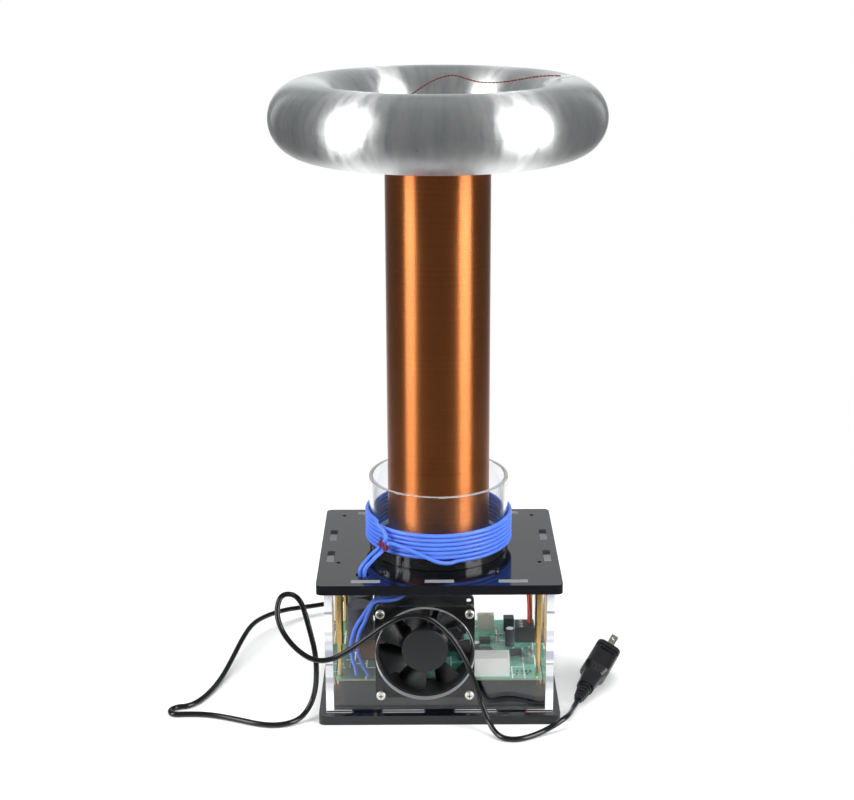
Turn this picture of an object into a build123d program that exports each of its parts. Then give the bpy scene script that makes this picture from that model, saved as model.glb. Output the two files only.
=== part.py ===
"""Desktop resonant transformer: a spun toroid on a copper-wound secondary coil,
a blue primary coil round a clear tube, and a tabbed acrylic box that holds the
driver board and its fan. Millimetres, +Z up, origin at the middle of the foot."""

from build123d import *
import math
import os

os.makedirs("parts", exist_ok=True)

# ---------------------------------------------------------------- driving sizes
# Box of laser-cut acrylic sheet
plate_width = 196
plate_depth = 170
plate_thickness = 8
plate_corner = 5
box_height = 122
panel_thickness = 6
panel_setback = 6            # front panel's face behind the plates' front edge
side_setback = 6             # side panels' faces inside the plates' ends
tab_length = 23.2
front_tab_pitch = 58.8
side_tab_pitch = 47
corner_tab_pitch = 45
slot_clearance = 0.1

# Posts that carry the board and the top plate
post_inset = 15.9            # post rows inside the plate's ends
post_rows_short = 63.3       # plate's depth less the rows' pitch
post_row_centre = 16.4       # middle of the post rows, behind the plate's middle
post_across_flats = 5.5
post_bore = 2.6
spacer_height = 12
stud_diameter = 4
stud_height = 29.4
screw_shank = 3
screw_head = 5.6
screw_clearance = 0.2

# Driver board
board_side_gap = 0.5         # to the side panels
board_rear_gap = 0.45        # to the rear panel
board_thickness = 1.6
board_front_margin = 6.5     # board's front edge ahead of the front post row

# Fan
fan_size = 80
fan_depth = 25
fan_x = -11.7
fan_drop = 1.6               # fan's middle below the box's middle
fan_hole = 80                # in the front panel
fan_bore = 76
fan_screw_pitch = 71.5
fan_screw = 4
fan_screw_head = 7.4
fan_flange = 4
fan_corner = 4
hub_diameter = 38
hub_wall = 1.5
shaft_diameter = 3
shaft_clearance = 0.05
blade_count = 7
blade_tip_gap = 1.0

# Coil stack
base_disc_height = 8
former_boss_height = 7
primary_tube_diameter = 115
primary_tube_wall = 3.2
primary_tube_height = 63.7
seat_clearance = 0.2
former_diameter = 83
former_wall = 2.5
winding_thickness = 0.45
winding_start = 4            # bare former below the copper
winding_height = 328
former_height = 345.4
cap_thickness = 3
cap_plug = 8

# Primary wire
wire_diameter = 3.2
wire_pitch = 3.66
wire_turns_from = -75        # degrees, where the lowest turn leaves the tube
wire_turns_to = 210          # degrees, where the highest turn leaves it
wire_whole_turns = 6
wire_lowest = 9.8            # lowest turn's centre above the top plate
wire_seat = 0.3
lead_hole = 10.5
lead_hole_side = 4.3         # hole's middle outside the primary tube, to the left
lead_hole_ahead = 4.7        # and in front
tie_angle = -130
tie_height = 21.5            # middle of the tie above the top plate

# Toroid
toroid_radius = 103          # to the middle of the ring's section
toroid_section = 29
toroid_skin = 1.2
toroid_seam = 0.04           # between the ring's upper and lower half shells
disc_thickness = 2
disc_gap = 0.15

# Mains cord
cord_diameter = 4.4
gland_inset = 38.5           # gland's middle inside the left panel's outer face
gland_height = 34
gland_hole = 9
gland_flange = 15
gland_flange_thickness = 3
gland_tail = 24

# ------------------------------------------------------- places worked out once
panel_height = box_height - 2 * plate_thickness
top_face = box_height
under_top = box_height - plate_thickness
front_face = -plate_depth / 2 + panel_setback
front_inner = front_face + panel_thickness
rear_face = -front_face
rear_inner = -front_inner
side_face = plate_width / 2 - side_setback
side_inner = side_face - panel_thickness
panel_mid_y = rear_face - panel_thickness / 2
panel_mid_x = side_face - panel_thickness / 2
post_pitch_x = plate_width - 2 * post_inset
post_pitch_y = plate_depth - post_rows_short
board_bottom = plate_thickness + spacer_height
board_top = board_bottom + board_thickness
post_height = under_top - board_top - stud_height
board_width = 2 * (side_inner - board_side_gap)
board_front = post_row_centre - post_pitch_y / 2 - board_front_margin
board_depth = rear_inner - board_rear_gap - board_front
board_middle = board_front + board_depth / 2
board_right = board_width / 2
tube_radius = primary_tube_diameter / 2
disc_radius = tube_radius - primary_tube_wall - seat_clearance
lead_hole_x = -tube_radius - lead_hole_side
lead_hole_y = -tube_radius - lead_hole_ahead
gland_x = gland_inset - side_face
base_disc_top = top_face + base_disc_height
former_bottom = base_disc_top
former_top = former_bottom + former_height
former_radius = former_diameter / 2
toroid_height = former_top + cap_thickness + disc_thickness / 2
wire_path_radius = tube_radius + wire_seat + wire_diameter / 2
lead_path_radius = wire_path_radius + wire_diameter + 0.5
mid_box = plate_thickness + panel_height / 2
fan_height = mid_box - fan_drop
fan_top = fan_height + fan_size / 2


def tab_offsets(count, pitch):
    """Middles of a row of tabs, centred on the panel."""
    return [(i - (count - 1) / 2) * pitch for i in range(count)]


front_tabs = tab_offsets(3, front_tab_pitch)
side_tabs = tab_offsets(2, side_tab_pitch)
corner_tabs = tab_offsets(2, corner_tab_pitch)
slot_length = tab_length + 2 * slot_clearance
slot_width = panel_thickness + 2 * slot_clearance
coil_screw_x = tube_radius - 11.8
coil_screw_front = -tube_radius + 0.5
coil_screw_rear = tube_radius - 11
coil_screw_spots = [
    (x, y) for x in (-coil_screw_x, coil_screw_x) for y in (coil_screw_front, coil_screw_rear)
]

# ------------------------------------------------------------------- box plates
# Both plates have three slots along the front and the back and two at each end.


def plate_outline():
    """Rounded plate with its tab slots, for the sketch in hand."""
    RectangleRounded(plate_width, plate_depth, plate_corner)
    with Locations(*[(x, y) for x in front_tabs for y in (-panel_mid_y, panel_mid_y)]):
        Rectangle(slot_length, slot_width, mode=Mode.SUBTRACT)
    with Locations(*[(x, y) for y in side_tabs for x in (-panel_mid_x, panel_mid_x)]):
        Rectangle(slot_width, slot_length, mode=Mode.SUBTRACT)


underside = Plane(origin=(0, post_row_centre, 0), x_dir=(1, 0, 0), z_dir=(0, 0, -1))

with BuildPart() as bottom_plate:
    with BuildSketch(Plane.XY):
        plate_outline()
    extrude(amount=plate_thickness)
    with Locations(underside):
        with GridLocations(post_pitch_x, post_pitch_y, 2, 2):
            CounterSinkHole(
                screw_shank / 2 + screw_clearance, screw_head / 2 + screw_clearance,
                depth=plate_thickness,
            )
bottom_plate.part.label = "bottom_plate"
export_step(bottom_plate.part, "parts/bottom_plate.step")

with BuildPart() as top_plate:
    with BuildSketch(Plane.XY.offset(under_top)):
        plate_outline()
        with Locations((0, post_row_centre)):
            with GridLocations(post_pitch_x, post_pitch_y, 2, 2):
                Circle(screw_shank / 2 + screw_clearance, mode=Mode.SUBTRACT)
        with Locations((lead_hole_x, lead_hole_y)):
            Circle(lead_hole / 2, mode=Mode.SUBTRACT)
        with Locations(*coil_screw_spots):
            Circle(screw_shank / 2 + screw_clearance, mode=Mode.SUBTRACT)
    extrude(amount=plate_thickness)
top_plate.part.label = "top_plate"
export_step(top_plate.part, "parts/top_plate.step")

# ------------------------------------------------------------------- box panels
# Clear sheet. Tabs stand up and down into the plates, and the side panels' edge
# tabs sit in notches of the front and the rear panel.
tab_middle = (panel_height + plate_thickness) / 2


def end_panel_outline():
    """Front or rear panel, drawn about the middle of the box's height."""
    Rectangle(2 * side_face, panel_height)
    with Locations(*[(x, z) for x in front_tabs for z in (-tab_middle, tab_middle)]):
        Rectangle(tab_length, plate_thickness)
    with Locations(*[(x, z) for z in corner_tabs for x in (-panel_mid_x, panel_mid_x)]):
        Rectangle(panel_thickness + 2 * slot_clearance, slot_length, mode=Mode.SUBTRACT)


front_plane = Plane(origin=(0, front_face, mid_box), x_dir=(1, 0, 0), z_dir=(0, -1, 0))
rear_plane = Plane(origin=(0, rear_inner, mid_box), x_dir=(1, 0, 0), z_dir=(0, -1, 0))

with BuildPart() as front_panel:
    with BuildSketch(front_plane):
        end_panel_outline()
        with Locations((fan_x, fan_height - mid_box)):
            Circle(fan_hole / 2, mode=Mode.SUBTRACT)
            with GridLocations(fan_screw_pitch, fan_screw_pitch, 2, 2):
                Circle(fan_screw / 2 + screw_clearance, mode=Mode.SUBTRACT)
    extrude(amount=-panel_thickness)
front_panel.part.label = "front_panel"
export_step(front_panel.part, "parts/front_panel.step")

with BuildPart() as rear_panel:
    with BuildSketch(rear_plane):
        end_panel_outline()
        with Locations((gland_x, gland_height - mid_box)):
            Circle(gland_hole / 2 + screw_clearance, mode=Mode.SUBTRACT)
    extrude(amount=-panel_thickness)
rear_panel.part.label = "rear_panel"
export_step(rear_panel.part, "parts/rear_panel.step")


def side_panel(inner_x, name):
    """One side panel, standing on the plane of its left face."""
    side_plane = Plane(origin=(inner_x, 0, mid_box), x_dir=(0, 1, 0), z_dir=(1, 0, 0))
    with BuildPart() as panel:
        with BuildSketch(side_plane):
            Rectangle(2 * rear_inner, panel_height)
            with Locations(*[(y, z) for y in side_tabs for z in (-tab_middle, tab_middle)]):
                Rectangle(tab_length, plate_thickness)
            with Locations(*[(y, z) for z in corner_tabs for y in (-panel_mid_y, panel_mid_y)]):
                Rectangle(panel_thickness, tab_length)
        extrude(amount=panel_thickness)
    panel.part.label = name
    export_step(panel.part, "parts/" + name + ".step")
    return panel


left_panel = side_panel(-side_face, "left_panel")
right_panel = side_panel(side_inner, "right_panel")

# ------------------------------------------------------------ posts and screws
# A stack at each corner: a hexagonal spacer under the board, a thin stud on it,
# and a long hexagonal post up to the top plate. Countersunk screws hold the
# stacks from below.

hexagon_radius = post_across_flats / math.sqrt(3)

with BuildPart() as board_spacers:
    with BuildSketch(Plane.XY.offset(plate_thickness)):
        with Locations((0, post_row_centre)):
            with GridLocations(post_pitch_x, post_pitch_y, 2, 2):
                RegularPolygon(hexagon_radius, 6)
                Circle(screw_shank / 2 + screw_clearance / 2, mode=Mode.SUBTRACT)
    extrude(amount=spacer_height)
board_spacers.part.label = "board_spacers"
export_step(board_spacers.part, "parts/board_spacers.step")

with BuildPart() as board_studs:
    with BuildSketch(Plane.XY.offset(board_top)):
        with Locations((0, post_row_centre)):
            with GridLocations(post_pitch_x, post_pitch_y, 2, 2):
                Circle(stud_diameter / 2)
    extrude(amount=stud_height)
    with BuildSketch(Plane.XY.offset(board_top)):
        with Locations((0, post_row_centre)):
            with GridLocations(post_pitch_x, post_pitch_y, 2, 2):
                Circle(screw_shank / 2)
    extrude(amount=-board_thickness - spacer_height / 3)
board_studs.part.label = "board_studs"
export_step(board_studs.part, "parts/board_studs.step")

with BuildPart() as corner_posts:
    with BuildSketch(Plane.XY.offset(under_top)):
        with Locations((0, post_row_centre)):
            with GridLocations(post_pitch_x, post_pitch_y, 2, 2):
                RegularPolygon(hexagon_radius, 6)
    extrude(amount=-post_height)
    with BuildSketch(Plane.XY.offset(under_top)):
        with Locations((0, post_row_centre)):
            with GridLocations(post_pitch_x, post_pitch_y, 2, 2):
                Circle(post_bore / 2)
    extrude(amount=-post_height / 6, mode=Mode.SUBTRACT)
corner_posts.part.label = "corner_posts"
export_step(corner_posts.part, "parts/corner_posts.step")

screw_cone = (screw_head - screw_shank) / 2

with BuildPart() as base_screws:
    with Locations((0, post_row_centre)):
        with GridLocations(post_pitch_x, post_pitch_y, 2, 2):
            Cylinder(
                screw_shank / 2, plate_thickness + spacer_height / 2,
                align=(Align.CENTER, Align.CENTER, Align.MIN),
            )
            Cone(
                screw_head / 2, screw_shank / 2, screw_cone,
                align=(Align.CENTER, Align.CENTER, Align.MIN),
            )
base_screws.part.label = "base_screws"
export_step(base_screws.part, "parts/base_screws.step")

# -------------------------------------------------------------- circuit board

with BuildPart() as circuit_board:
    with BuildSketch(Plane.XY.offset(board_bottom)):
        with Locations((0, board_middle)):
            RectangleRounded(board_width, board_depth, 2)
        with Locations((0, post_row_centre)):
            with GridLocations(post_pitch_x, post_pitch_y, 2, 2):
                Circle(screw_shank / 2 + screw_clearance / 2, mode=Mode.SUBTRACT)
    extrude(amount=board_thickness)
circuit_board.part.label = "circuit_board"
export_step(circuit_board.part, "parts/circuit_board.step")

# Finned heatsink, an extrusion that lies along the fan's stream of air
sink_width = 72
sink_length = 40
sink_base = 6
sink_height = 46
sink_fins = 12
sink_fin_thickness = 1.8
sink_x = -12
sink_front = board_middle + 5.45
sink_lift = 10               # the transistors lie between the board and the sink
sink_bottom = board_top + sink_lift
sink_plane = Plane(origin=(sink_x, sink_front, sink_bottom), x_dir=(1, 0, 0), z_dir=(0, -1, 0))

with BuildPart() as heatsink:
    with BuildSketch(sink_plane):
        Rectangle(sink_width, sink_base, align=(Align.CENTER, Align.MIN))
        with GridLocations((sink_width - sink_fin_thickness) / (sink_fins - 1), 0, sink_fins, 1):
            Rectangle(sink_fin_thickness, sink_height, align=(Align.CENTER, Align.MIN))
    extrude(amount=-sink_length)
    leg_inset = 5
    with BuildSketch(Plane.XY.offset(board_top)):
        with Locations((sink_x, sink_front + sink_length / 2)):
            with GridLocations(sink_width - 2 * leg_inset, sink_length - 2 * leg_inset, 2, 2):
                Circle(3)
    extrude(amount=sink_lift)
heatsink.part.label = "heatsink"
export_step(heatsink.part, "parts/heatsink.step")

# Three power transistors, flat under the heatsink, legs bent down to the board
transistor_width = 15.6
transistor_length = 20
transistor_thickness = 5
transistor_pitch = 17
leg_pitch = 5.45
leg_reach = 6

with BuildPart() as power_transistors:
    with BuildSketch(Plane.XY.offset(sink_bottom)):
        with Locations((sink_x, sink_front + sink_length / 2)):
            with GridLocations(transistor_pitch, 0, 3, 1):
                Rectangle(transistor_width, transistor_length)
                Circle(1.8, mode=Mode.SUBTRACT)
    extrude(amount=-transistor_thickness)
    with BuildSketch(Plane.XY.offset(sink_bottom - transistor_thickness / 2)):
        with Locations((sink_x, sink_front + sink_length / 2 - transistor_length / 2 - leg_reach / 2)):
            with GridLocations(transistor_pitch, 0, 3, 1):
                with GridLocations(leg_pitch, 0, 3, 1):
                    Rectangle(1.2, leg_reach)
    extrude(amount=-0.6)
    with BuildSketch(Plane.XY.offset(sink_bottom - transistor_thickness / 2)):
        with Locations((sink_x, sink_front + sink_length / 2 - transistor_length / 2 - leg_reach + 0.3)):
            with GridLocations(transistor_pitch, 0, 3, 1):
                with GridLocations(leg_pitch, 0, 3, 1):
                    Rectangle(1.2, 0.6)
    extrude(amount=-(sink_lift - transistor_thickness / 2))
power_transistors.part.label = "power_transistors"
export_step(power_transistors.part, "parts/power_transistors.step")


def can_capacitor(name, radius, height, spots):
    """Round capacitors standing on the board, with the crimp groove near the foot."""
    groove = 0.06 * height + 1
    with BuildPart() as can:
        with BuildSketch(Plane.XZ):
            with BuildLine():
                Polyline(
                    (0, board_top), (radius, board_top), (radius, board_top + groove),
                    (radius - 0.7, board_top + groove + 0.8), (radius, board_top + groove + 1.6),
                    (radius, board_top + height - 0.8), (radius - 0.8, board_top + height),
                    (0, board_top + height), (0, board_top),
                )
            make_face()
        revolve(axis=Axis.Z)
    with BuildPart() as group:
        with Locations(*spots):
            add(can.part)
    group.part.label = name
    export_step(group.part, "parts/" + name + ".step")
    return group


bulk_x = -board_right + 17.5
bulk_capacitors = can_capacitor(
    "bulk_capacitors", 11, 40, [(bulk_x, board_middle + 29.5), (bulk_x, board_middle + 4.5)],
)
small_capacitors = can_capacitor(
    "small_capacitors", 4, 16, [(board_right - 24, board_middle + 5.5), (20, -8), (31, -8)],
)


def board_block(name, spots, size, rounding, lift=0.0):
    """Box-shaped components standing on the board, with rounded top edges."""
    with BuildPart() as block:
        with Locations(*[(x, y, board_top + lift) for x, y in spots]):
            Box(*size, align=(Align.CENTER, Align.MIN, Align.MIN))
        fillet(block.edges().group_by(Axis.Z)[-1], rounding)
    block.part.label = name
    export_step(block.part, "parts/" + name + ".step")
    return block


terminal_x = board_right - 10.3
terminal_y = board_middle + 10.5
film_spot = (board_right - 42.6, board_front + 3.5)
film_capacitor = board_block("film_capacitor", [film_spot], (31.2, 18, 16), 1.2)
filter_spot = (board_right - 43.8, board_middle + 35.5)
filter_capacitor = board_block("filter_capacitor", [filter_spot], (14.5, 8, 14), 1.0)
terminal_block = board_block("terminal_block", [(terminal_x, terminal_y)], (16.5, 18, 14), 0.6)
pulse_module = board_block("pulse_module", [(board_right - 23.5, board_middle + 33.5)], (9, 9, 12), 0.4)

# Wound choke on the left: a core with flanges and a taped winding between them
choke_width = 20
choke_depth = 13
choke_height = 14
choke_x = -board_right + 27.5
with BuildPart() as choke:
    with Locations((choke_x, -10, board_top)):
        Box(choke_width, choke_depth, choke_height, align=(Align.CENTER, Align.MIN, Align.MIN))
    fillet(choke.edges().filter_by(Axis.X), 2.5)
    with Locations((choke_x, -10 + choke_depth / 2, board_top + choke_height / 2)):
        with GridLocations(choke_width + 2, 0, 2, 1):
            Box(2, choke_depth + 1, choke_height)
choke.part.label = "choke"
export_step(choke.part, "parts/choke.step")

# Ring-core gate transformer, standing on the board behind the fan
ring_outer = 12
ring_inner = 6.5
ring_depth = 10
ring_plane = Plane(origin=(-20, -12, board_top + ring_outer), x_dir=(1, 0, 0), z_dir=(0, -1, 0))
with BuildPart() as gate_transformer:
    with BuildSketch(ring_plane):
        Circle(ring_outer)
        Circle(ring_inner, mode=Mode.SUBTRACT)
    extrude(amount=-ring_depth)
    fillet(gate_transformer.edges(), 1.5)
gate_transformer.part.label = "gate_transformer"
export_step(gate_transformer.part, "parts/gate_transformer.step")

# Bridge rectifier: a flat block with one cut corner, on four wire legs
with BuildPart() as bridge_rectifier:
    with Locations((8, 4, board_top + 4)):
        Box(22, 4, 18, align=(Align.CENTER, Align.MIN, Align.MIN))
    chamfer(bridge_rectifier.edges().filter_by(Axis.Y).sort_by(SortBy.DISTANCE)[-1:], 3)
    with BuildSketch(Plane.XY.offset(board_top)):
        with Locations((8, 6)):
            with GridLocations(5.1, 0, 4, 1):
                Circle(0.6)
    extrude(amount=4)
bridge_rectifier.part.label = "bridge_rectifier"
export_step(bridge_rectifier.part, "parts/bridge_rectifier.step")

# Three eight-leg control chips on the board
chip_leg_pitch = 2.54
chip_spots = [(board_right - 45.5, 26), (board_right - 19.5, 2), (board_right - 45.5, 6)]
with BuildPart() as control_chips:
    with Locations(*[(x, y, board_top + 0.6) for x, y in chip_spots]):
        Box(9.6, 6.4, 3.4, align=(Align.CENTER, Align.CENTER, Align.MIN))
    with Locations(*[(x, y, board_top) for x, y in chip_spots]):
        with GridLocations(chip_leg_pitch, 7.2, 4, 2):
            Box(0.8, 0.8, 2.4, align=(Align.CENTER, Align.CENTER, Align.MIN))
control_chips.part.label = "control_chips"
export_step(control_chips.part, "parts/control_chips.step")

# Glass fuse in two clips at the right edge of the board
fuse_x = board_right - 8.5
fuse_y = -8
fuse_radius = 2.6
fuse_length = 20
fuse_lift = 5.2
fuse_plane = Plane(origin=(fuse_x, fuse_y, board_top + fuse_lift), x_dir=(1, 0, 0), z_dir=(0, 1, 0))
with BuildPart() as fuse:
    with BuildSketch(fuse_plane.offset(-fuse_length / 2)):
        Circle(fuse_radius)
    extrude(amount=fuse_length)
fuse.part.label = "fuse"
export_step(fuse.part, "parts/fuse.step")

with BuildPart() as fuse_clips:
    for clip_offset in (-fuse_length / 2 + 1, fuse_length / 2 - 5):
        with BuildSketch(fuse_plane.offset(clip_offset)):
            Circle(fuse_radius + 0.7)
            with Locations((0, fuse_lift / 2)):
                Rectangle(2 * fuse_radius + 1.4, fuse_lift)
            Circle(fuse_radius + 0.05, mode=Mode.SUBTRACT)
            with Locations((0, -fuse_radius - 0.7)):
                Rectangle(3, 3, mode=Mode.SUBTRACT)
        extrude(amount=4)
fuse_clips.part.label = "fuse_clips"
export_step(fuse_clips.part, "parts/fuse_clips.step")

# ----------------------------------------------------------------------- fan
# The fan's own plane lies on the front panel's inner face, with z into the box.

fan_plane = Plane(origin=(fan_x, front_inner, fan_height), x_dir=(1, 0, 0), z_dir=(0, 1, 0))
duct_wall = 1.7
stay_depth = 3
bearing_radius = 4
motor_plate_radius = hub_diameter / 2 - 1
hub_front = 1
hub_depth = 20

with BuildPart() as fan_housing:
    for flange_start in (0, fan_depth - fan_flange):
        with BuildSketch(fan_plane.offset(flange_start)):
            RectangleRounded(fan_size, fan_size, fan_corner)
        extrude(amount=fan_flange)
    with BuildSketch(fan_plane):
        Circle(fan_bore / 2 + duct_wall)
    extrude(amount=fan_depth)
    with BuildSketch(fan_plane):
        Circle(fan_bore / 2)
        with GridLocations(fan_screw_pitch, fan_screw_pitch, 2, 2):
            Circle(fan_screw / 2 + screw_clearance)
    extrude(amount=fan_depth, mode=Mode.SUBTRACT)
    with BuildSketch(fan_plane.offset(fan_depth)):
        Circle(motor_plate_radius)
        with PolarLocations(0, 4, start_angle=20):
            with Locations((fan_bore / 4 + 0.5, 0)):
                Rectangle(fan_bore / 2, 4)
    extrude(amount=-stay_depth)
    with BuildSketch(fan_plane.offset(fan_depth - stay_depth)):
        Circle(bearing_radius)
    extrude(amount=-(fan_depth - stay_depth - 6))
    with BuildSketch(fan_plane.offset(6)):
        Circle(shaft_diameter / 2 + shaft_clearance)
    extrude(amount=fan_depth - 7, mode=Mode.SUBTRACT)
fan_housing.part.label = "fan_housing"
export_step(fan_housing.part, "parts/fan_housing.step")

# Stator of the fan's motor: four poles round the bearing tube
stator_radius = 14
with BuildPart() as fan_stator:
    with BuildSketch(fan_plane.offset(8.5)):
        Circle(stator_radius)
        Circle(bearing_radius + 0.05, mode=Mode.SUBTRACT)
        with PolarLocations(stator_radius - 3.5, 4, start_angle=45):
            SlotOverall(6, 3, rotation=90, mode=Mode.SUBTRACT)
            Rectangle(12, 1.4, align=(Align.MIN, Align.CENTER), mode=Mode.SUBTRACT)
    extrude(amount=9)
fan_stator.part.label = "fan_stator"
export_step(fan_stator.part, "parts/fan_stator.step")


def blade_section(distance, half_chord, half_rise, camber, thickness, lean):
    """Curved strip across a blade, on a plane square to the blade's radius."""
    across = Plane(origin=(distance, lean, hub_front + hub_depth / 2), x_dir=(0, 1, 0), z_dir=(1, 0, 0))
    with BuildSketch(across) as section:
        with BuildLine():
            low = ThreePointArc((-half_chord, -half_rise), (camber, -camber), (half_chord, half_rise))
            high = ThreePointArc(
                (-half_chord, -half_rise + thickness),
                (camber, -camber + thickness),
                (half_chord, half_rise + thickness),
            )
            Line(low @ 0, high @ 0)
            Line(low @ 1, high @ 1)
        make_face()
    return section


root_section = blade_section(hub_diameter / 2 - 1, 6.0, 8.2, 1.2, 1.6, 0)
tip_section = blade_section(fan_bore / 2 + 2, 13.5, 6.2, 2.2, 1.1, 5)

with BuildPart() as blade:
    add(root_section.sketch)
    add(tip_section.sketch)
    loft()
    with BuildSketch(Plane.XY):
        Circle(fan_bore / 2 - blade_tip_gap)
    extrude(amount=fan_depth, mode=Mode.INTERSECT)

with BuildPart(fan_plane) as fan_rotor:
    with BuildSketch(fan_plane.offset(hub_front)):
        Circle(hub_diameter / 2)
    extrude(amount=hub_depth)
    with PolarLocations(0, blade_count):
        add(blade.part)
    fillet(fan_rotor.edges().filter_by(GeomType.CIRCLE).group_by(Axis.Y)[0], 1.2)
    with BuildSketch(fan_plane.offset(hub_front + hub_wall)):
        Circle(hub_diameter / 2 - hub_wall)
    extrude(amount=hub_depth, mode=Mode.SUBTRACT)
    with BuildSketch(fan_plane.offset(hub_front + hub_wall)):
        Circle(shaft_diameter / 2)
    extrude(amount=fan_depth - hub_front - hub_wall - 2)
fan_rotor.part.label = "fan_rotor"
export_step(fan_rotor.part, "parts/fan_rotor.step")

# Pan-head screws through the front panel and the fan's front flange, with nuts
fan_screw_length = panel_thickness + fan_flange + 6
head_height = 2.6
screw_plane = Plane(origin=(fan_x, front_face, fan_height), x_dir=(1, 0, 0), z_dir=(0, -1, 0))
with BuildPart() as fan_screws:
    with BuildSketch(screw_plane):
        with GridLocations(fan_screw_pitch, fan_screw_pitch, 2, 2):
            Circle(fan_screw_head / 2)
    extrude(amount=head_height)
    fillet(fan_screws.edges().group_by(Axis.Y)[0], 1.4)
    with BuildSketch(screw_plane.offset(head_height)):
        with GridLocations(fan_screw_pitch, fan_screw_pitch, 2, 2):
            Rectangle(3.6, 0.8)
            Rectangle(0.8, 3.6)
    extrude(amount=-1.4, mode=Mode.SUBTRACT)
    with BuildSketch(screw_plane):
        with GridLocations(fan_screw_pitch, fan_screw_pitch, 2, 2):
            Circle(fan_screw / 2)
    extrude(amount=-fan_screw_length)
fan_screws.part.label = "fan_screws"
export_step(fan_screws.part, "parts/fan_screws.step")

with BuildPart() as fan_nuts:
    with BuildSketch(fan_plane.offset(fan_flange)):
        with GridLocations(fan_screw_pitch, fan_screw_pitch, 2, 2):
            RegularPolygon(3.5, 6, major_radius=False)
            Circle(fan_screw / 2 + 0.05, mode=Mode.SUBTRACT)
    extrude(amount=3.2)
fan_nuts.part.label = "fan_nuts"
export_step(fan_nuts.part, "parts/fan_nuts.step")

# ------------------------------------------------------------------ coil stack
# A black disc inside the clear tube locates it, and its boss holds the former.
boss_radius = former_radius - former_wall - seat_clearance

with BuildPart() as coil_base:
    with BuildSketch(Plane.XY.offset(top_face)):
        Circle(disc_radius)
    extrude(amount=base_disc_height)
    with BuildSketch(Plane.XY.offset(base_disc_top)):
        Circle(boss_radius)
        Circle(boss_radius - 6, mode=Mode.SUBTRACT)
    extrude(amount=former_boss_height)
    chamfer(coil_base.edges().group_by(Axis.Z)[-1], 0.8)
coil_base.part.label = "coil_base"
export_step(coil_base.part, "parts/coil_base.step")

with BuildPart() as coil_screws:
    with BuildSketch(Plane.XY.offset(top_face)):
        with Locations(*coil_screw_spots):
            Circle(screw_head / 2)
    extrude(amount=2)
    fillet(coil_screws.edges().group_by(Axis.Z)[-1], 1)
    with BuildSketch(Plane.XY.offset(top_face + 2)):
        with Locations(*coil_screw_spots):
            Rectangle(2.8, 0.7)
            Rectangle(0.7, 2.8)
    extrude(amount=-1.1, mode=Mode.SUBTRACT)
    with BuildSketch(Plane.XY.offset(top_face)):
        with Locations(*coil_screw_spots):
            Circle(screw_shank / 2)
    extrude(amount=-(plate_thickness + 8))
coil_screws.part.label = "coil_screws"
export_step(coil_screws.part, "parts/coil_screws.step")

# Stiffening plate under the top plate, clear of the wire's hole
backing_thickness = 3
backing_margin = 8
with BuildPart() as backing_plate:
    with BuildSketch(Plane.XY.offset(under_top)):
        with Locations((0, (coil_screw_front + coil_screw_rear) / 2)):
            Rectangle(
                2 * (coil_screw_x + backing_margin),
                coil_screw_rear - coil_screw_front + 2 * backing_margin,
            )
        with Locations(*coil_screw_spots):
            Circle(screw_shank / 2 + screw_clearance, mode=Mode.SUBTRACT)
        with Locations((0, 0)):
            Circle(boss_radius - 6, mode=Mode.SUBTRACT)
    extrude(amount=-backing_thickness)
backing_plate.part.label = "backing_plate"
export_step(backing_plate.part, "parts/backing_plate.step")

with BuildPart() as coil_nuts:
    with BuildSketch(Plane.XY.offset(under_top - backing_thickness)):
        with Locations(*coil_screw_spots):
            RegularPolygon(2.75, 6, major_radius=False)
            Circle(screw_shank / 2 + 0.05, mode=Mode.SUBTRACT)
    extrude(amount=-2.4)
coil_nuts.part.label = "coil_nuts"
export_step(coil_nuts.part, "parts/coil_nuts.step")

with BuildPart() as primary_tube:
    with BuildSketch(Plane.XY.offset(top_face)):
        Circle(primary_tube_diameter / 2)
        Circle(primary_tube_diameter / 2 - primary_tube_wall, mode=Mode.SUBTRACT)
    extrude(amount=primary_tube_height)
    fillet(primary_tube.edges().group_by(Axis.Z)[-1], 0.6)
primary_tube.part.label = "primary_tube"
export_step(primary_tube.part, "parts/primary_tube.step")

with BuildPart() as secondary_former:
    with BuildSketch(Plane.XY.offset(former_bottom)):
        Circle(former_radius)
        Circle(former_radius - former_wall, mode=Mode.SUBTRACT)
    extrude(amount=former_height)
secondary_former.part.label = "secondary_former"
export_step(secondary_former.part, "parts/secondary_former.step")

with BuildPart() as secondary_winding:
    with BuildSketch(Plane.XY.offset(former_bottom + winding_start)):
        Circle(former_radius + winding_thickness)
        Circle(former_radius, mode=Mode.SUBTRACT)
    extrude(amount=winding_height)
secondary_winding.part.label = "secondary_winding"
export_step(secondary_winding.part, "parts/secondary_winding.step")

with BuildPart() as top_cap:
    with BuildSketch(Plane.XY.offset(former_top)):
        Circle(former_radius)
    extrude(amount=cap_thickness)
    with BuildSketch(Plane.XY.offset(former_top)):
        Circle(former_radius - former_wall - seat_clearance)
    extrude(amount=-cap_plug)
    with BuildSketch(Plane.XY.offset(former_top + cap_thickness)):
        Circle(3 + screw_clearance)
    extrude(amount=-cap_thickness - cap_plug, mode=Mode.SUBTRACT)
top_cap.part.label = "top_cap"
export_step(top_cap.part, "parts/top_cap.step")

# ---------------------------------------------------------------- toroid top
inner_equator = toroid_radius - toroid_section

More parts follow.
